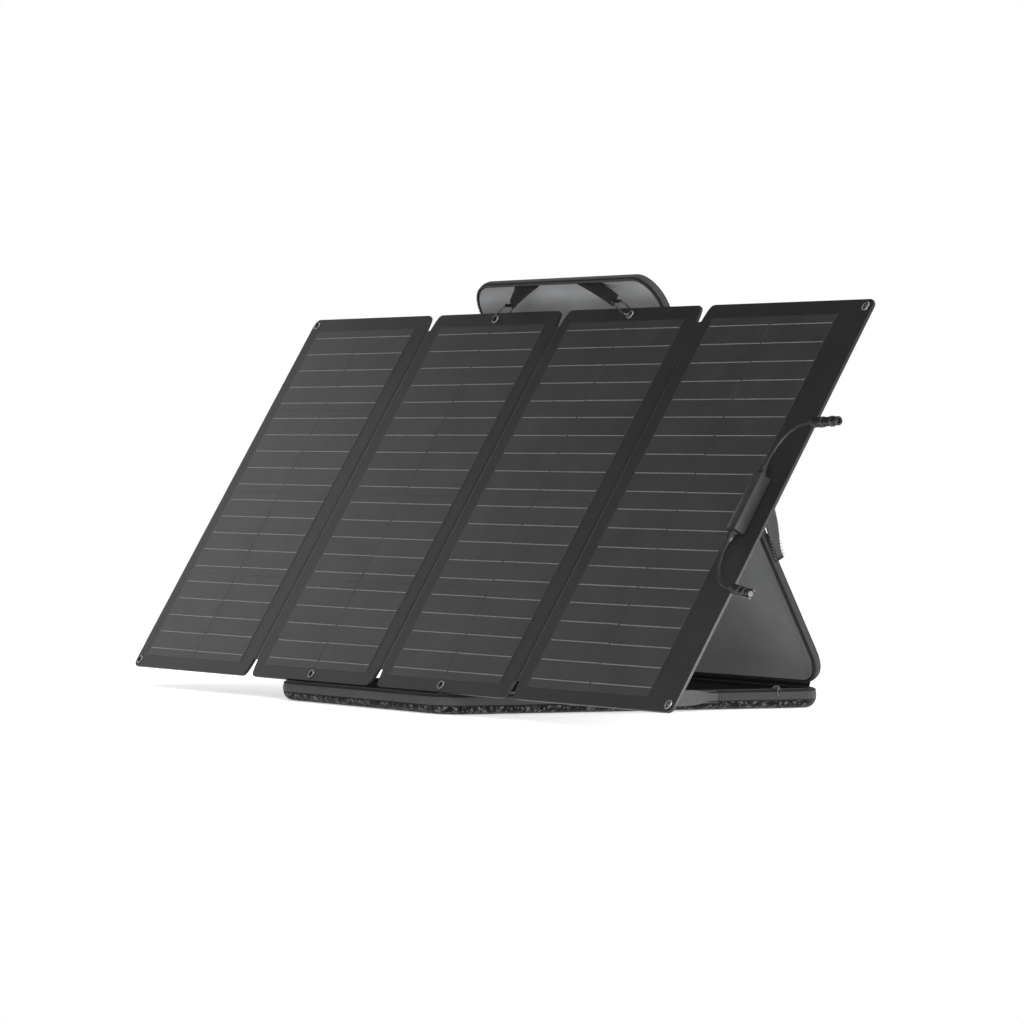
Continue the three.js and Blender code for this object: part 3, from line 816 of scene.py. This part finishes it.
def cell_sheet(index):
    """The laminated sheet of a segment, with its eight cells and their busbars."""
    left = CELL_LEFT[index]
    sheet, cells, bars = Parts(), Parts(), Parts()
    pillow(sheet, (left, CELL_BOTTOM), CELL_AREA, (20, 40), 0.02, 0.16,
           lambda x, y: 0.05 * noise.noise(Vector((x * 0.02, y * 0.02, index))), soft=0.5)
    for column, (bar_left, bar_right) in enumerate(BAR_ENDS):
        x0 = left + 0.6 + column * (CELL_SIZE[0] + COLUMN_GAP)
        for row in range(4):
            y0 = CELL_BOTTOM + row * CELL_PITCH
            lift = cell_lift((x0, y0), index)
            pillow(cells, (x0, y0), CELL_SIZE, (8, 8), CELL_BASE, CELL_RISE, lift, soft=0.4)
            for bar in range(BAR_COUNT):
                y = y0 + BAR_START + bar * BAR_PITCH + random.uniform(-0.4, 0.4)
                start = x0 + bar_left + random.uniform(-0.8, 0.8)
                end = x0 + CELL_SIZE[0] - bar_right + random.uniform(-0.8, 0.8)
                xs = [start + (end - start) * i / BAR_STEPS for i in range(BAR_STEPS + 1)]
                bars.add(*swept([(x, y, BAR_BASE + lift(x, y)) for x in xs], BAR_SECTION))
    body, number = BODY_OF[index], index + 1
    dress(sheet.mesh(f"cell_film_{number}", PANEL), "cell", body, [f"cells_{number}"],
          crease=12)
    dress(cells.mesh(f"cell_blocks_{number}", PANEL), "cell", body, crease=12)
    dress(bars.mesh(f"busbars_{number}", PANEL), "busbar", body)


FOLD_CREASE, FOLD_MIDDLE = 0.3, 342


def fold_strip(index):
    """The flexible strip between two segments, with a soft valley along its line."""
    x0, half = index * SEGMENT, FOLD_HALF + 0.7
    low, high = FOLD_NOTCH + 0.3, PANEL_HEIGHT - FOLD_NOTCH - 0.3
    across, along = 14, 110
    layers = []
    for z, valley in ((0, -FOLD_CREASE), (-1.3, FOLD_CREASE)):
        layer = []
        for j in range(along + 1):
            y = low + (high - low) * j / along
            for i in range(across + 1):
                s = 2 * i / across - 1
                crease = valley * math.exp(-(s * 3.2) ** 2)
                crimp = 0.05 * noise.noise(Vector((s * 1.5, y * 0.09, index)))
                layer.append((x0 + s * half, y, z + crease + crimp - 0.06))
        layers.append(layer)
    piece = add_mesh(f"fold_cloth_{index}", *two_sided(*layers, across), PANEL)
    before, after = BODY_OF[index - 1], BODY_OF[index]
    dress(piece, "fold", before if before == after else None, [f"fold_{index}"])
    if before != after:
        left, right = (PANEL @ Vector((x0 + x, FOLD_MIDDLE, 0)) for x in (-FOLD_HALF, FOLD_HALF))
        tuple(left)
        tuple(right)
        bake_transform(piece)


GROMMET_PROFILE = [(4.75, -5.5), (4.95, -6.1), (5.6, -6.4), (6.7, -6.3), (7.4, -5.9), (7.6, -5.3),
                   (5.9, -5.2), (5.9, 0.2), (7.6, 0.3), (7.4, 0.9), (6.7, 1.3), (5.6, 1.4), (4.95, 1.1),
                   (4.75, 0.5)]


def eyelet(name, x, y):
    """A rolled two-part grommet, with painted shade inside its barrel."""
    rings = [[(x + a, y + b, z) for a, b in round_section(radius, 36)] for radius, z in GROMMET_PROFILE]
    piece = add_mesh("grommet_" + name, *lofted(rings, closed=True), PANEL)
    dress(piece, "eyelet", BODY_OF[int(name[0]) - 1], ["eyelet_" + name], crease=60)
    axis = PANEL @ Vector((x, y, 0))

    def painted_shade_in_barrel(face):
        reach = face.center - axis
        return (reach - PANEL_OUT * reach.dot(PANEL_OUT)).length < 5.2 * MM

    # painted shade: the faces inside the barrel take the dark zip-teeth colour
    second_look(piece, "teeth", painted_shade_in_barrel)


def junction_box():
    """The box on the last segment: foot flange, parting groove and a chamfered cover."""
    profile = [(0.4, 0.3), (0, 0.8), (0, 4.6), (0.55, 5.0), (0.55, 5.4), (0, 5.8), (0, 17.2),
               (0.15, 18.7), (0.6, BOX["height"])]
    rings = []
    for inset, z in profile:
        ring = outline(BOX["width"], BOX["length"], 2.6, inset, 6, 8)
        rings.append([(p.x + BOX_CENTRE, p.y + BOX["bottom"] + BOX["length"] / 2, z) for p in ring])
    parts = Parts().add(*lofted(rings))
    for y in (BOX["bottom"] + 5, BOX["bottom"] + BOX["length"] - 5):
        screw = Vector((BOX_CENTRE, y, BOX["height"] - 0.1))
        parts.add(*lathe([(2.3, 0), (2.3, 0.35), (1.7, 0.5), (0.3, 0.45)], screw, (0, 0, 1), 20))
    dress(parts.mesh("junction_box", PANEL), "box", "panel_right",
          ["box_foot", "box_cover"], crease=35)


for number in range(4):
    board(number)
    back_seam(number)
    cell_sheet(number)
for number in (1, 2, 3):
    fold_strip(number)
for eyelet_name, (eyelet_x, eyelet_y) in EYELETS.items():
    eyelet(eyelet_name, eyelet_x, eyelet_y)
junction_box()


# ---------- padded panels of the case, filled out by cloth simulation ----------
CLOTH_STEPS = 20


def inflate(piece, pinned, cap, pressure):
    """Lets a pad swell as cloth between its seams; no point moves further than cap millimetres."""
    rest = np.array([v.co for v in piece.data.vertices])
    group = piece.vertex_groups.new(name="seams")
    group.add(pinned, 1.0, "REPLACE")
    cloth = piece.modifiers.new("cloth", "CLOTH")
    settings = cloth.settings
    settings.quality = 5
    settings.mass = 0.3
    settings.tension_stiffness = settings.compression_stiffness = 25
    settings.bending_stiffness = 4
    settings.use_pressure = True
    settings.uniform_pressure_force = pressure
    settings.vertex_group_mass = "seams"
    settings.effector_weights.gravity = 0
    cloth.collision_settings.use_collision = False
    scene = bpy.context.scene
    for step in range(1, CLOTH_STEPS + 1):
        scene.frame_set(step)
    evaluated = piece.evaluated_get(bpy.context.evaluated_depsgraph_get())
    moved = np.array([v.co for v in evaluated.to_mesh().vertices]) - rest
    evaluated.to_mesh_clear()
    piece.modifiers.clear()
    piece.vertex_groups.clear()
    scene.frame_set(1)
    far = np.linalg.norm(moved, axis=1, keepdims=True)
    moved *= np.minimum(1.0, cap * MM / np.maximum(far, 1e-9))
    for vertex, place in zip(piece.data.vertices, rest + moved):
        vertex.co = place


def subdivide(piece):
    """Applies one level of subdivision surface to the piece's mesh."""
    modifier = piece.modifiers.new("smooth", "SUBSURF")
    modifier.levels = modifier.render_levels = 1
    evaluated = piece.evaluated_get(bpy.context.evaluated_depsgraph_get())
    data = bpy.data.meshes.new_from_object(evaluated)
    piece.modifiers.clear()
    old, piece.data = piece.data, data
    bpy.data.meshes.remove(old)
    piece.data.name = piece.name


def near_edge(x, y, width, length, radius):
    """Distance inside the rounded rectangle's edge."""
    a, b = abs(x) - (width / 2 - radius), abs(y) - (length / 2 - radius)
    if a > 0 and b > 0:
        return radius - math.hypot(a, b)
    return radius - max(a, b)


def eased(t):
    """A smooth step from 0 to 1."""
    t = min(max(t, 0.0), 1.0)
    return t * t * (3 - 2 * t)


# ---------- case base ----------
TRAY_PROFILE = [(18, 0.3), (13, 0.7), (9.2, 1.6), (6.2, 3.2), (3.8, 5.4), (2.0, 8.0), (1.0, 10.6),
                (1.0, 12.4), (2.4, 13.1), (6, 13.2), (9, 13.0), (13, 6.5), (20, 4.4), (20, 2.4)]
TRAY_PILE, TRAY_PILE_END = 0.55, 9
TRAY_INSET = 14


def base_tray():
    """The looped-pile underside and lower band of the base."""
    rings = []
    for k, (inset, z) in enumerate(TRAY_PROFILE):
        pile = TRAY_PILE if 0 < k < TRAY_PILE_END else 0.0
        ring = []
        for p in outline(CASE_WIDTH, CASE_LENGTH, CASE_RADIUS, inset, 26, 3.0):
            bump = pile * (noise.noise(Vector((p.x * 0.33, p.y * 0.33, z * 0.5)))
                           + 0.7 * noise.noise(Vector((p.x * 0.09, p.y * 0.09, z * 0.2))))
            side = p.normalized() * (bump - pile * 0.5)
            ring.append((p.x + side.x, p.y + side.y, max(z + bump * 0.3, 0.1)))
        rings.append(ring)
    band = add_mesh("base_pile_band", *lofted(rings, closed=True))
    dress(band, "textured", "case_base", crease=80)

    def under(x, y):
        return 0.3 + 0.4 * noise.noise(Vector((x * 0.02, y * 0.02, 0.5))) ** 2

    size = (CASE_WIDTH - 2 * TRAY_INSET, CASE_LENGTH - 2 * TRAY_INSET, CASE_RADIUS - TRAY_INSET)
    sole = add_mesh("base_underside", *pad_mesh(*size, 9, lambda x, y: 3.8, under))
    dress(sole, "textured", "case_base", ["base_tray"], crease=80)


BASE_WALL = [(1.4, 13.3), (0.2, 14.6), (-0.5, 17), (-0.7, 20), (-0.5, 23), (0.2, 25.6), (1.3, 27.2),
             (4, 27.5), (CASE_WALL - 0.6, 27.2), (CASE_WALL, 26), (CASE_WALL, 14.5), (CASE_WALL - 0.6, 13.3)]
BASE_WELTS = [(0.7, 13.4, 0.9), (1.1, 27.6, 0.9)]
LID_WALL = [(0.8, -12.9), (-0.1, -11.4), (-0.8, -9), (-0.9, -7), (-0.6, -5), (0.2, -3.4), (1.2, -2.6),
            (CASE_WALL - 0.6, -2.7), (CASE_WALL, -4), (CASE_WALL, -12), (CASE_WALL - 0.8, -12.9)]
LID_WELTS = [(0.9, -13.1, 1.0), (1.0, -2.4, 0.95)]


def foam_wall(prefix, look, node, length, profile, welts, seed, place):
    """The smooth foam wall of a case half, and the two welts (inset, height, radius) that edge it."""
    body = "case_" + prefix
    wall = Parts().add(*shell(length, profile, 16, 9, wobble=0.35, seed=seed))
    dress(wall.mesh(prefix + "_wall_foam", place), look, body, [node], crease=70)
    welt = Parts()
    for inset, z, radius in welts:
        welt.add(*swept(case_ring(length, inset, z, 16, 6), round_section(radius, 8), closed=True))
    dress(welt.mesh(prefix + "_welts", place), "tape", body, crease=80)


def zip_half(prefix, length, low, reach, place):
    """One half of the zip round a case half: tape, coil teeth and a row of stitches."""
    body = "case_" + prefix
    top = low + 2.2
    teeth_at, seam_at = 0.46 * reach, 0.8 * reach
    tape = [(1.0, low), (0.8, low + 0.9), (1.1, top - 0.5), (1.8, top), (0.7 * reach, top + 0.15),
            (reach - 0.6, top - 0.1), (reach, top - 0.8), (reach - 0.4, low)]
    parts = Parts().add(*shell(length, tape, 14, 9, wobble=0.3, seed=4))
    dress(parts.mesh(prefix + "_zip_cloth", place), "tape", body, [prefix + "_zip_tape"],
          crease=60)
    teeth, up = Parts(), Vector((0, 0, 1))
    ring = [Vector(p) for p in case_ring(length, teeth_at, top + 0.75, 30, 2.4)]
    for here, after in zip(ring, ring[1:] + ring[:1]):
        along = (after - here).normalized()
        add_block(teeth, here, along, along.cross(up), up, (1.25, 3.0, 1.5), 0.3)
    dress(teeth.mesh(prefix + "_zip_teeth", place), "teeth", body)
    seam = case_ring(length, seam_at, top + 0.25, 14, 9)
    rows = stitches(Parts(), seam, 2.8, 1.6, 0.3, closed=True)
    dress(rows.mesh(prefix + "_zip_stitching", place), "thread", body)


INSIDE_PROFILE = [(0.1, 27.4), (1.2, 27.6), (2.2, 26), (2.6, 16), (4.5, 9), (10, 6.4), (10, 5.2), (3, 6.0),
                  (1.2, 12), (0.1, 20)]
FLOOR_CHANNEL = 165


def base_inside():
    """The inside walls, near-black with painted shade, and the padded floor of the base."""
    profile = [(CASE_WALL + inset, z) for inset, z in INSIDE_PROFILE]
    parts = Parts().add(*shell(CASE_LENGTH, profile, 14, 9, wobble=0.5, seed=9))
    # the inside walls are coloured near-black as painted shade
    dress(parts.mesh("base_inside_wall_painted_shade"), "inside", "case_base", crease=70)
    inset = 2 * CASE_WALL + 4
    size = (CASE_WIDTH - inset, CASE_LENGTH - inset, CASE_RADIUS - 13)

    def top(x, y):
        return 4.9 + eased(near_edge(x, y, *size) / 25)

    points, faces = pad_mesh(*size, 11, top, lambda x, y: 4.2)
    floor_pad = add_mesh("base_floor_pad", points, faces)
    half = len(points) // 2
    seams = [i for i, (x, y, _) in enumerate(points)
             if i >= half or near_edge(x, y, *size) < 12 or abs(abs(y) - FLOOR_CHANNEL) < 6]
    inflate(floor_pad, seams, 4.0, pressure=2.0)
    subdivide(floor_pad)
    dress(floor_pad, "lining", "case_base", ["base_lining"], crease=80)


# ---------- case lid ----------
def lid_lining():
    """The concave inside of the lid: it curves in from the opening and lies against the back."""
    size = (CASE_WIDTH - 2 * CASE_WALL, LID_LENGTH - 2 * CASE_WALL, CASE_RADIUS - CASE_WALL)

    def top(x, y):
        inside = near_edge(x, y, *size)
        bowl = -9.3 * math.sin(math.pi / 2 * min(inside / 30, 1.0)) - 1.4 * eased((inside - 20) / 90)
        wave = 0.5 * noise.noise(Vector((x * 0.006, y * 0.006, 3.0))) * eased(inside / 60)
        return -1.1 + bowl + wave

    pad = pad_mesh(*size, 6.5, top, lambda x, y: top(x, y) - 1.0)
    lining = add_mesh("lid_inside_cloth", *pad, LID_CASE)
    dress(lining, "lining", "case_lid", ["lid_lining"], crease=80)


BACK_CHANNEL = 178


def lid_back():
    """The looped-pile back of the lid, padded between its edge seam and two sewn channels."""
    size = (CASE_WIDTH - 2, LID_LENGTH - 2, CASE_RADIUS - 1)

    def back(x, y):
        inside = near_edge(x, y, *size)
        crown = 2.4 * eased(inside / 26) + 1.6 * eased((inside - 20) / 150)
        groove = sum(1.6 * math.exp(-((y - c) / 5) ** 2) for c in (-BACK_CHANNEL, BACK_CHANNEL))
        return -13.6 - crown + groove * eased((inside - 10) / 20)

    points, faces = pad_mesh(*size, 9, lambda x, y: -13.2, back)
    pad = add_mesh("lid_back_pad", points, faces, LID_CASE)
    half = len(points) // 2
    seams = [i for i, (x, y, _) in enumerate(points)
             if i < half or near_edge(x, y, *size) < 9 or abs(abs(y) - BACK_CHANNEL) < 5.5]
    inflate(pad, seams, 5.0, pressure=3.0)
    subdivide(pad)
    dress(pad, "textured", "case_lid", ["lid_back"], crease=80)


# ---------- fabric hinge ----------
SPINE_SECTION = [(359.4, 24.0), (360.3, 27.5), (360.8, 30.5), (361.6, 33.6), (362.7, 36.8), (363.0, 39.6),
                 (362.6, 42.4), (361.6, 45.0)]
SPINE_STEPS, SPINE_THICK = 60, 1.0


def spine():
    """The cloth gusset that joins the two halves along the back."""
    half = CASE_WIDTH / 2 - CASE_RADIUS - 4
    layers = []
    for out in (-SPINE_THICK / 2, SPINE_THICK / 2):
        layer = []
        for i in range(SPINE_STEPS + 1):
            x = -half + 2 * half * i / SPINE_STEPS
            for y, z in SPINE_SECTION:
                ripple = 0.35 * noise.noise(Vector((x * 0.035, z * 0.12, 1.0)))
                layer.append((x, y + ripple + out, z))
        layers.append(layer)
    piece = add_mesh("spine_cloth", *two_sided(*layers, len(SPINE_SECTION) - 1))
    dress(piece, "tape", None, ["case_spine"], crease=80)
    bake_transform(piece)


# ---------- carry handles ----------
SIDE_ON = Matrix(((0, 0, 1, 0), (1, 0, 0, 0), (0, 1, 0, 0), (0, 0, 0, 1)))
HANDLE_STEPS = 48


def sewn_patch(prefix, end, sign, place, heights):
    """The patch that holds one end of a handle to the wall, with a stitched square and cross."""
    bottom, top = heights
    y0, y1 = sorted((sign * (HANDLE_HALF - 42), sign * (HANDLE_HALF + 6)))
    face = WALL_OUT + 1.2
    corners = [(y0, bottom), (y1, bottom), (y1, top), (y0, top)]
    patch = Parts().add(*slab(corners, (WALL_OUT - 0.6, face), 0.45))
    name = f"{prefix}_patch_{end}"
    dress(patch.mesh(name, place @ SIDE_ON), "webbing", "case_" + prefix,
          [f"{prefix}_handle_patch_{end}"], crease=50)
    loop = [(y0 + 2.5, bottom + 2, face), (y1 - 2.5, bottom + 2, face), (y1 - 2.5, top - 2, face),
            (y0 + 2.5, top - 2, face)]
    rows = stitches(Parts(), loop, 2.6, 1.2, 0.28, closed=True)
    stitches(rows, loop[0::2], 2.6, 1.2, 0.28)
    stitches(rows, loop[1::2], 2.6, 1.2, 0.28)
    dress(rows.mesh(name + "_stitching", place @ SIDE_ON), "thread", "case_" + prefix)


def handle(prefix, look, low, place, patch_heights):
    """A padded carry handle that bows out from the right-hand wall, and its two sewn patches."""
    body = prefix + "_carry_handle"
    path = []
    for i in range(HANDLE_STEPS + 1):
        t = -1 + 2 * i / HANDLE_STEPS
        bow = HANDLE_BULGE * math.cos(t * math.pi / 2) ** 1.4
        path.append(Vector((WALL_OUT + 2 + bow + HANDLE_THICK / 2, HANDLE_HALF * t, low + HANDLE_WIDTH / 2)))

    def size(f):
        """The share of its thickness and width that the handle has left towards its ends."""
        ends = abs(2 * f - 1)
        return 1 - 0.5 * eased((ends - 0.72) / 0.24), 1 - 0.5 * eased((ends - 0.55) / 0.4)

    section = [(b, a) for a, b in strap_section(HANDLE_WIDTH, HANDLE_THICK, 6)]
    strap = Parts().add(*swept(path, section, scale=size))
    piece = dress(strap.mesh(prefix + "_carry_strap", place), look, body,
                  [prefix + "_handle"], crease=60)
    rows = Parts()
    for edge in (-1, 1):
        for face in (-1, 1):
            line = []
            for i, p in enumerate(path):
                out = HANDLE_THICK / 2 * size(i / HANDLE_STEPS)[0] - 0.1
                line.append(p + Vector((face * out, 0, edge * (HANDLE_WIDTH / 2 - 3.2))))
            stitches(rows, line)
    dress(rows.mesh(prefix + "_strap_stitching", place), "pale_thread", body)
    for end, sign in (("rear", 1), ("front", -1)):
        sewn_patch(prefix, end, sign, place, patch_heights)


# ---------- zip slider ----------
SLIDER_PLACE = (CASE_WIDTH / 2 - 6, 259)
PULL_LOW, PULL_HIGH = 20.8, 32.8


def zip_slider():
    """The slider's body with its bridge, and the pull that hangs from it."""
    x, y = SLIDER_PLACE
    rings = []
    for inset, z in ((0.9, 30.3), (0.2, 30.9), (0, 31.6), (0.3, 32.4), (1.2, 32.8)):
        ring = outline(9, 16, 3.4, inset, 6, 4)
        rings.append([(p.x * (1 - 0.12 * max(p.y, 0) / 8) + x, p.y + y, z) for p in ring])
    parts = Parts().add(*lofted(rings))
    bridge = [(x, y - 5.5, 32.4), (x, y - 4.4, 34.1), (x, y, 34.7), (x, y + 4.4, 34.1), (x, y + 5.5, 32.4)]
    parts.add(*swept(smooth_path(bridge, 5), strap_section(2.6, 1.2), hint=Vector((1, 0, 0))))
    dress(parts.mesh("slider_body"), "dark_metal", "slider", ["zip_slider"], crease=40)
    profile = [(0, -0.62), (-0.35, -0.3), (-0.35, 0.3), (0, 0.62), (1.7, 0.62), (1.9, 0.3), (1.9, -0.3),
               (1.7, -0.62)]
    rings = []
    for inset, depth in profile:
        ring = outline(6, PULL_HIGH - PULL_LOW, 2.6, inset, 6, 2)
        rings.append([(WALL_OUT + 0.75 + depth, p.x + y, p.y + (PULL_LOW + PULL_HIGH) / 2) for p in ring])
    pull = Parts().add(*lofted(rings, closed=True))
    pin = [(x + 2.5, y, 33.4), (x + 5.2, y, 33.3), (WALL_OUT + 0.8, y, 32.2), (WALL_OUT + 0.8, y, 30.2)]
    pull.add(*swept(smooth_path(pin, 4), round_section(0.7, 8)))
    dress(pull.mesh("slider_pull_tab"), "dark_metal", "slider_pull", ["zip_pull"], crease=40)


# ---------- tabs and wire clips ----------
CLIP_HEADING = {"across": 0.86, "up": 0.4, "out": 0.25}


def clip_axes(sign):
    """Middle, lengthwise and crosswise directions of a clip, in millimetres."""
    up = PANEL.to_3x3() @ Vector((0, 1, 0)) / MM
    x, y = EYELETS["2_upper" if sign < 0 else "3_upper"]
    centre = PANEL @ Vector((x, y, -PANEL_THICK / 2)) / MM
    across = Vector((-sign * CLIP_HEADING["across"], 0, 0))
    lengthwise = (across + up * CLIP_HEADING["up"] + PANEL_OUT * CLIP_HEADING["out"]).normalized()
    crosswise = (PANEL_OUT - lengthwise * lengthwise.dot(PANEL_OUT)).normalized()
    crosswise.rotate(Quaternion(lengthwise, -sign * math.radians(CLIP_ROLL)))
    return centre + lengthwise * (CLIP_HALF - 0.5), lengthwise, crosswise


def wire_clip(side, sign):
    """The open wire ring and its sprung gate."""
    middle, along, across = clip_axes(sign)
    straight = CLIP_HALF - CLIP_RADIUS

    def at(u, v):
        return middle + along * u + across * v

    def arc(centre, start, end, count=14):
        turns = [start + (end - start) * i / count for i in range(count + 1)]
        return [at(centre + CLIP_RADIUS * math.cos(t), CLIP_RADIUS * math.sin(t)) for t in turns]

    ring = arc(straight, 0.35 * math.pi, -0.5 * math.pi) + [at(4, -CLIP_RADIUS), at(-4, -CLIP_RADIUS)]
    ring += arc(-straight, -0.5 * math.pi, -1.38 * math.pi)
    parts = Parts().add(*swept(smooth_path(ring, 3), round_section(CLIP_WIRE, 12)))
    for end in (ring[0], ring[-1]):
        parts.add(*lathe([(0.3, -1.5), (1.6, -1.2), (1.9, 0), (1.6, 1.2), (0.3, 1.5)], end, along, 12))
    dress(parts.mesh("clip_ring_" + side), "dark_metal", "case_lid", ["clip_" + side],
          crease=60)
    lift = CLIP_RADIUS + 0.2
    gate = [at(u, lift) for u in (straight + 0.55, straight * 0.4, -straight * 0.4, -straight - 0.2)]
    bar = Parts().add(*swept(smooth_path(gate), round_section(1.15, 10)))
    knuckle = [(0.4, -1.6), (1.7, -1.4), (1.7, 1.4), (0.4, 1.6)]
    bar.add(*lathe(knuckle, gate[-1], along.cross(across), 14))
    dress(bar.mesh("clip_gate_bar_" + side), "dark_metal", "gate_" + side,
          ["clip_gate_" + side], crease=60)


TAB_CENTRE, TAB_OFFSET, TAB_TOP, TAB_END, TAB_THICK = -1, 89, 36, 10, 1.6
TAB_ROWS, TAB_COLUMNS = 26, 14


def tab(side, sign):
    """The tapered cloth tab from the lid's edge, sewn round the far end of the clip."""
    seam = LID_LENGTH + 2 - CASE_WALL - 0.5
    top = LID @ Vector((TAB_CENTRE + sign * TAB_OFFSET, seam, -1.5)) / MM
    middle, along, across = clip_axes(sign)
    fall = middle + along * (CLIP_HALF + CLIP_WIRE + 0.4) - top
    down = Vector((0, fall.y, fall.z))
    drop = down.length
    down.normalize()
    normal = Vector((1, 0, 0)).cross(down)
    lean = math.atan2(fall.x, drop)
    reach_x, reach_down = TAB_END * math.cos(lean), TAB_END * math.sin(lean)

    def on_tab(s, f):
        """A point across (-1 to 1) and down (0 to 1) the flat tab, drawn in at its waist."""
        waist = 1 - 0.05 * math.sin(math.pi * f)
        x_top, x_end = s * TAB_TOP * waist, fall.x + s * reach_x * waist
        slide = f + 0.02 * math.sin(math.pi * f)
        return x_top + (x_end - x_top) * slide, (drop - s * reach_down) * f

    layers = []
    for face in (1, -1):
        layer = []
        for f in (j / TAB_ROWS for j in range(TAB_ROWS + 1)):
            for s in (2 * i / TAB_COLUMNS - 1 for i in range(TAB_COLUMNS + 1)):
                x, below = on_tab(s, f)
                pucker = noise.noise(Vector((s * 1.6, f * 5, sign * 3.0))) + 1.2 * math.sin(math.pi * s)
                roll = face * TAB_THICK / 2 * math.sqrt(max(1 - s ** 4, 0.05))
                lift = roll + pucker * f * (1 - f) * 2
                layer.append(top + Vector((x, 0, 0)) + down * below + normal * lift)
        layers.append(layer)
    piece = add_mesh("tab_cloth_" + side, *two_sided(*layers, TAB_COLUMNS))
    dress(piece, "webbing", "case_lid", ["tab_" + side], crease=70)

    centre = middle + along * CLIP_HALF
    path = [centre + across * (TAB_END * k) - along * (0.6 * k * k) for k in (-0.95, -0.5, 0, 0.5, 0.95)]
    loop = Parts().add(*swept(path, round_section(CLIP_WIRE + 1.4, 12)))
    dress(loop.mesh("tab_loop_" + side), "webbing", "case_lid", crease=70)

    front, row = layers[0], TAB_COLUMNS + 1
    threads = Parts()
    for i in (1, TAB_COLUMNS - 1):
        stitches(threads, [p + normal * 0.15 for p in front[i::row]], 3.0, 1.5, 0.3)
    for j in (2, TAB_ROWS - 4):
        stitches(threads, [p + normal * 0.2 for p in front[j * row + 1:(j + 1) * row - 1]], 3.0, 1.5, 0.3)
    dress(threads.mesh("tab_stitching_" + side), "thread", "case_lid")


base_tray()
foam_wall("base", "wall", "base_rim", CASE_LENGTH, BASE_WALL, BASE_WELTS, 0, WORLD)
zip_half("base", CASE_LENGTH, 27.9, 12.8, WORLD)
base_inside()
# the lid's wall takes the darker copy of the wall cloth, as painted shade
foam_wall("lid", "lid_wall", "lid_wall", LID_LENGTH, LID_WALL, LID_WELTS, 2, LID_CASE)
zip_half("lid", LID_LENGTH, -2.2, 5.4, LID_CASE)
lid_lining()
lid_back()
spine()
handle("base", "handle", 9, WORLD, (10, 20))
# the lid's handle takes the lid wall cloth, darker than the base handle's cloth, as painted shade
handle("lid", "lid_wall", -28, LID_CASE, (-25, -7))
zip_slider()
for clip_side, clip_sign in (("left", -1), ("right", 1)):
    wire_clip(clip_side, clip_sign)
    tab(clip_side, clip_sign)


# ---------- floor and light ----------
FLOOR_RADIUS, FLOOR_SIDES, FLOOR_DROP = 2.5, 96, 0.0005
FLAG_DIRECTION, FLAG_LEVEL = (-0.84, -0.27, 0.48), 0.03


def add_floor():
    """A pale disc just under the object."""
    data = bpy.data.meshes.new("floor")
    rim = [(x, y, -FLOOR_DROP) for x, y in round_section(FLOOR_RADIUS, FLOOR_SIDES)]
    data.from_pydata(rim, [], [list(range(FLOOR_SIDES))])
    data.materials.append(MATERIAL["floor"])
    add_object("floor", data)


def studio_world():
    """White surroundings, as the camera sees them, with a dark flag where the panel mirrors them."""
    world = bpy.data.worlds.new("studio")
    bpy.context.scene.world = world
    world.use_nodes = True
    tree = world.node_tree
    direction = add_node(tree, "ShaderNodeTexCoord", "Generated", {})
    toward = add_node(tree, "ShaderNodeVectorMath", "Value", operation="DOT_PRODUCT",
                      inputs={0: direction, 1: Vector(FLAG_DIRECTION).normalized()})
    fade = add_node(tree, "ShaderNodeMapRange", "Result", interpolation_type="SMOOTHSTEP",
                    inputs={"Value": toward, "From Max": 0.9, "To Min": 1.0, "To Max": FLAG_LEVEL})
    seen = add_node(tree, "ShaderNodeLightPath", "Is Camera Ray", {})
    level = add_node(tree, "ShaderNodeMix", "Result", {"Factor": seen, "A": fade, "B": 1.0})
    shade = tree.nodes["Background"]
    tree.links.new(level, shade.inputs["Strength"])
    shade.inputs["Color"].default_value = (1, 1, 1, 1)


def area_light(name, place, target, size, power):
    """A soft rectangular light, aimed at a target and hidden from the camera."""
    data = bpy.data.lights.new(name, "AREA")
    data.shape = "RECTANGLE"
    data.size, data.size_y = size
    data.energy = power
    light = add_object(name, data)
    light.location = place
    light.visible_camera = False
    light.rotation_euler = (Vector(target) - Vector(place)).to_track_quat("-Z", "Y").to_euler()


add_floor()
studio_world()
area_light("top", (1.6, -0.6, 3.0), (0.6, 0, 0), (5, 6), 105)
area_light("left", (-3.41, -0.44, 1.04), (-0.3, -0.2, 0.25), (2.0, 1.7), 17)
area_light("low_right", (1.5, -0.62, 0.12), (0.3, 0.3, 0.2), (0.5, 0.2), 4)
area_light("behind_right", (1.3, -0.12, 0.1), (0.25, 0.25, 0.2), (0.5, 0.25), 7)
bpy.context.scene.view_settings.view_transform = "Standard"
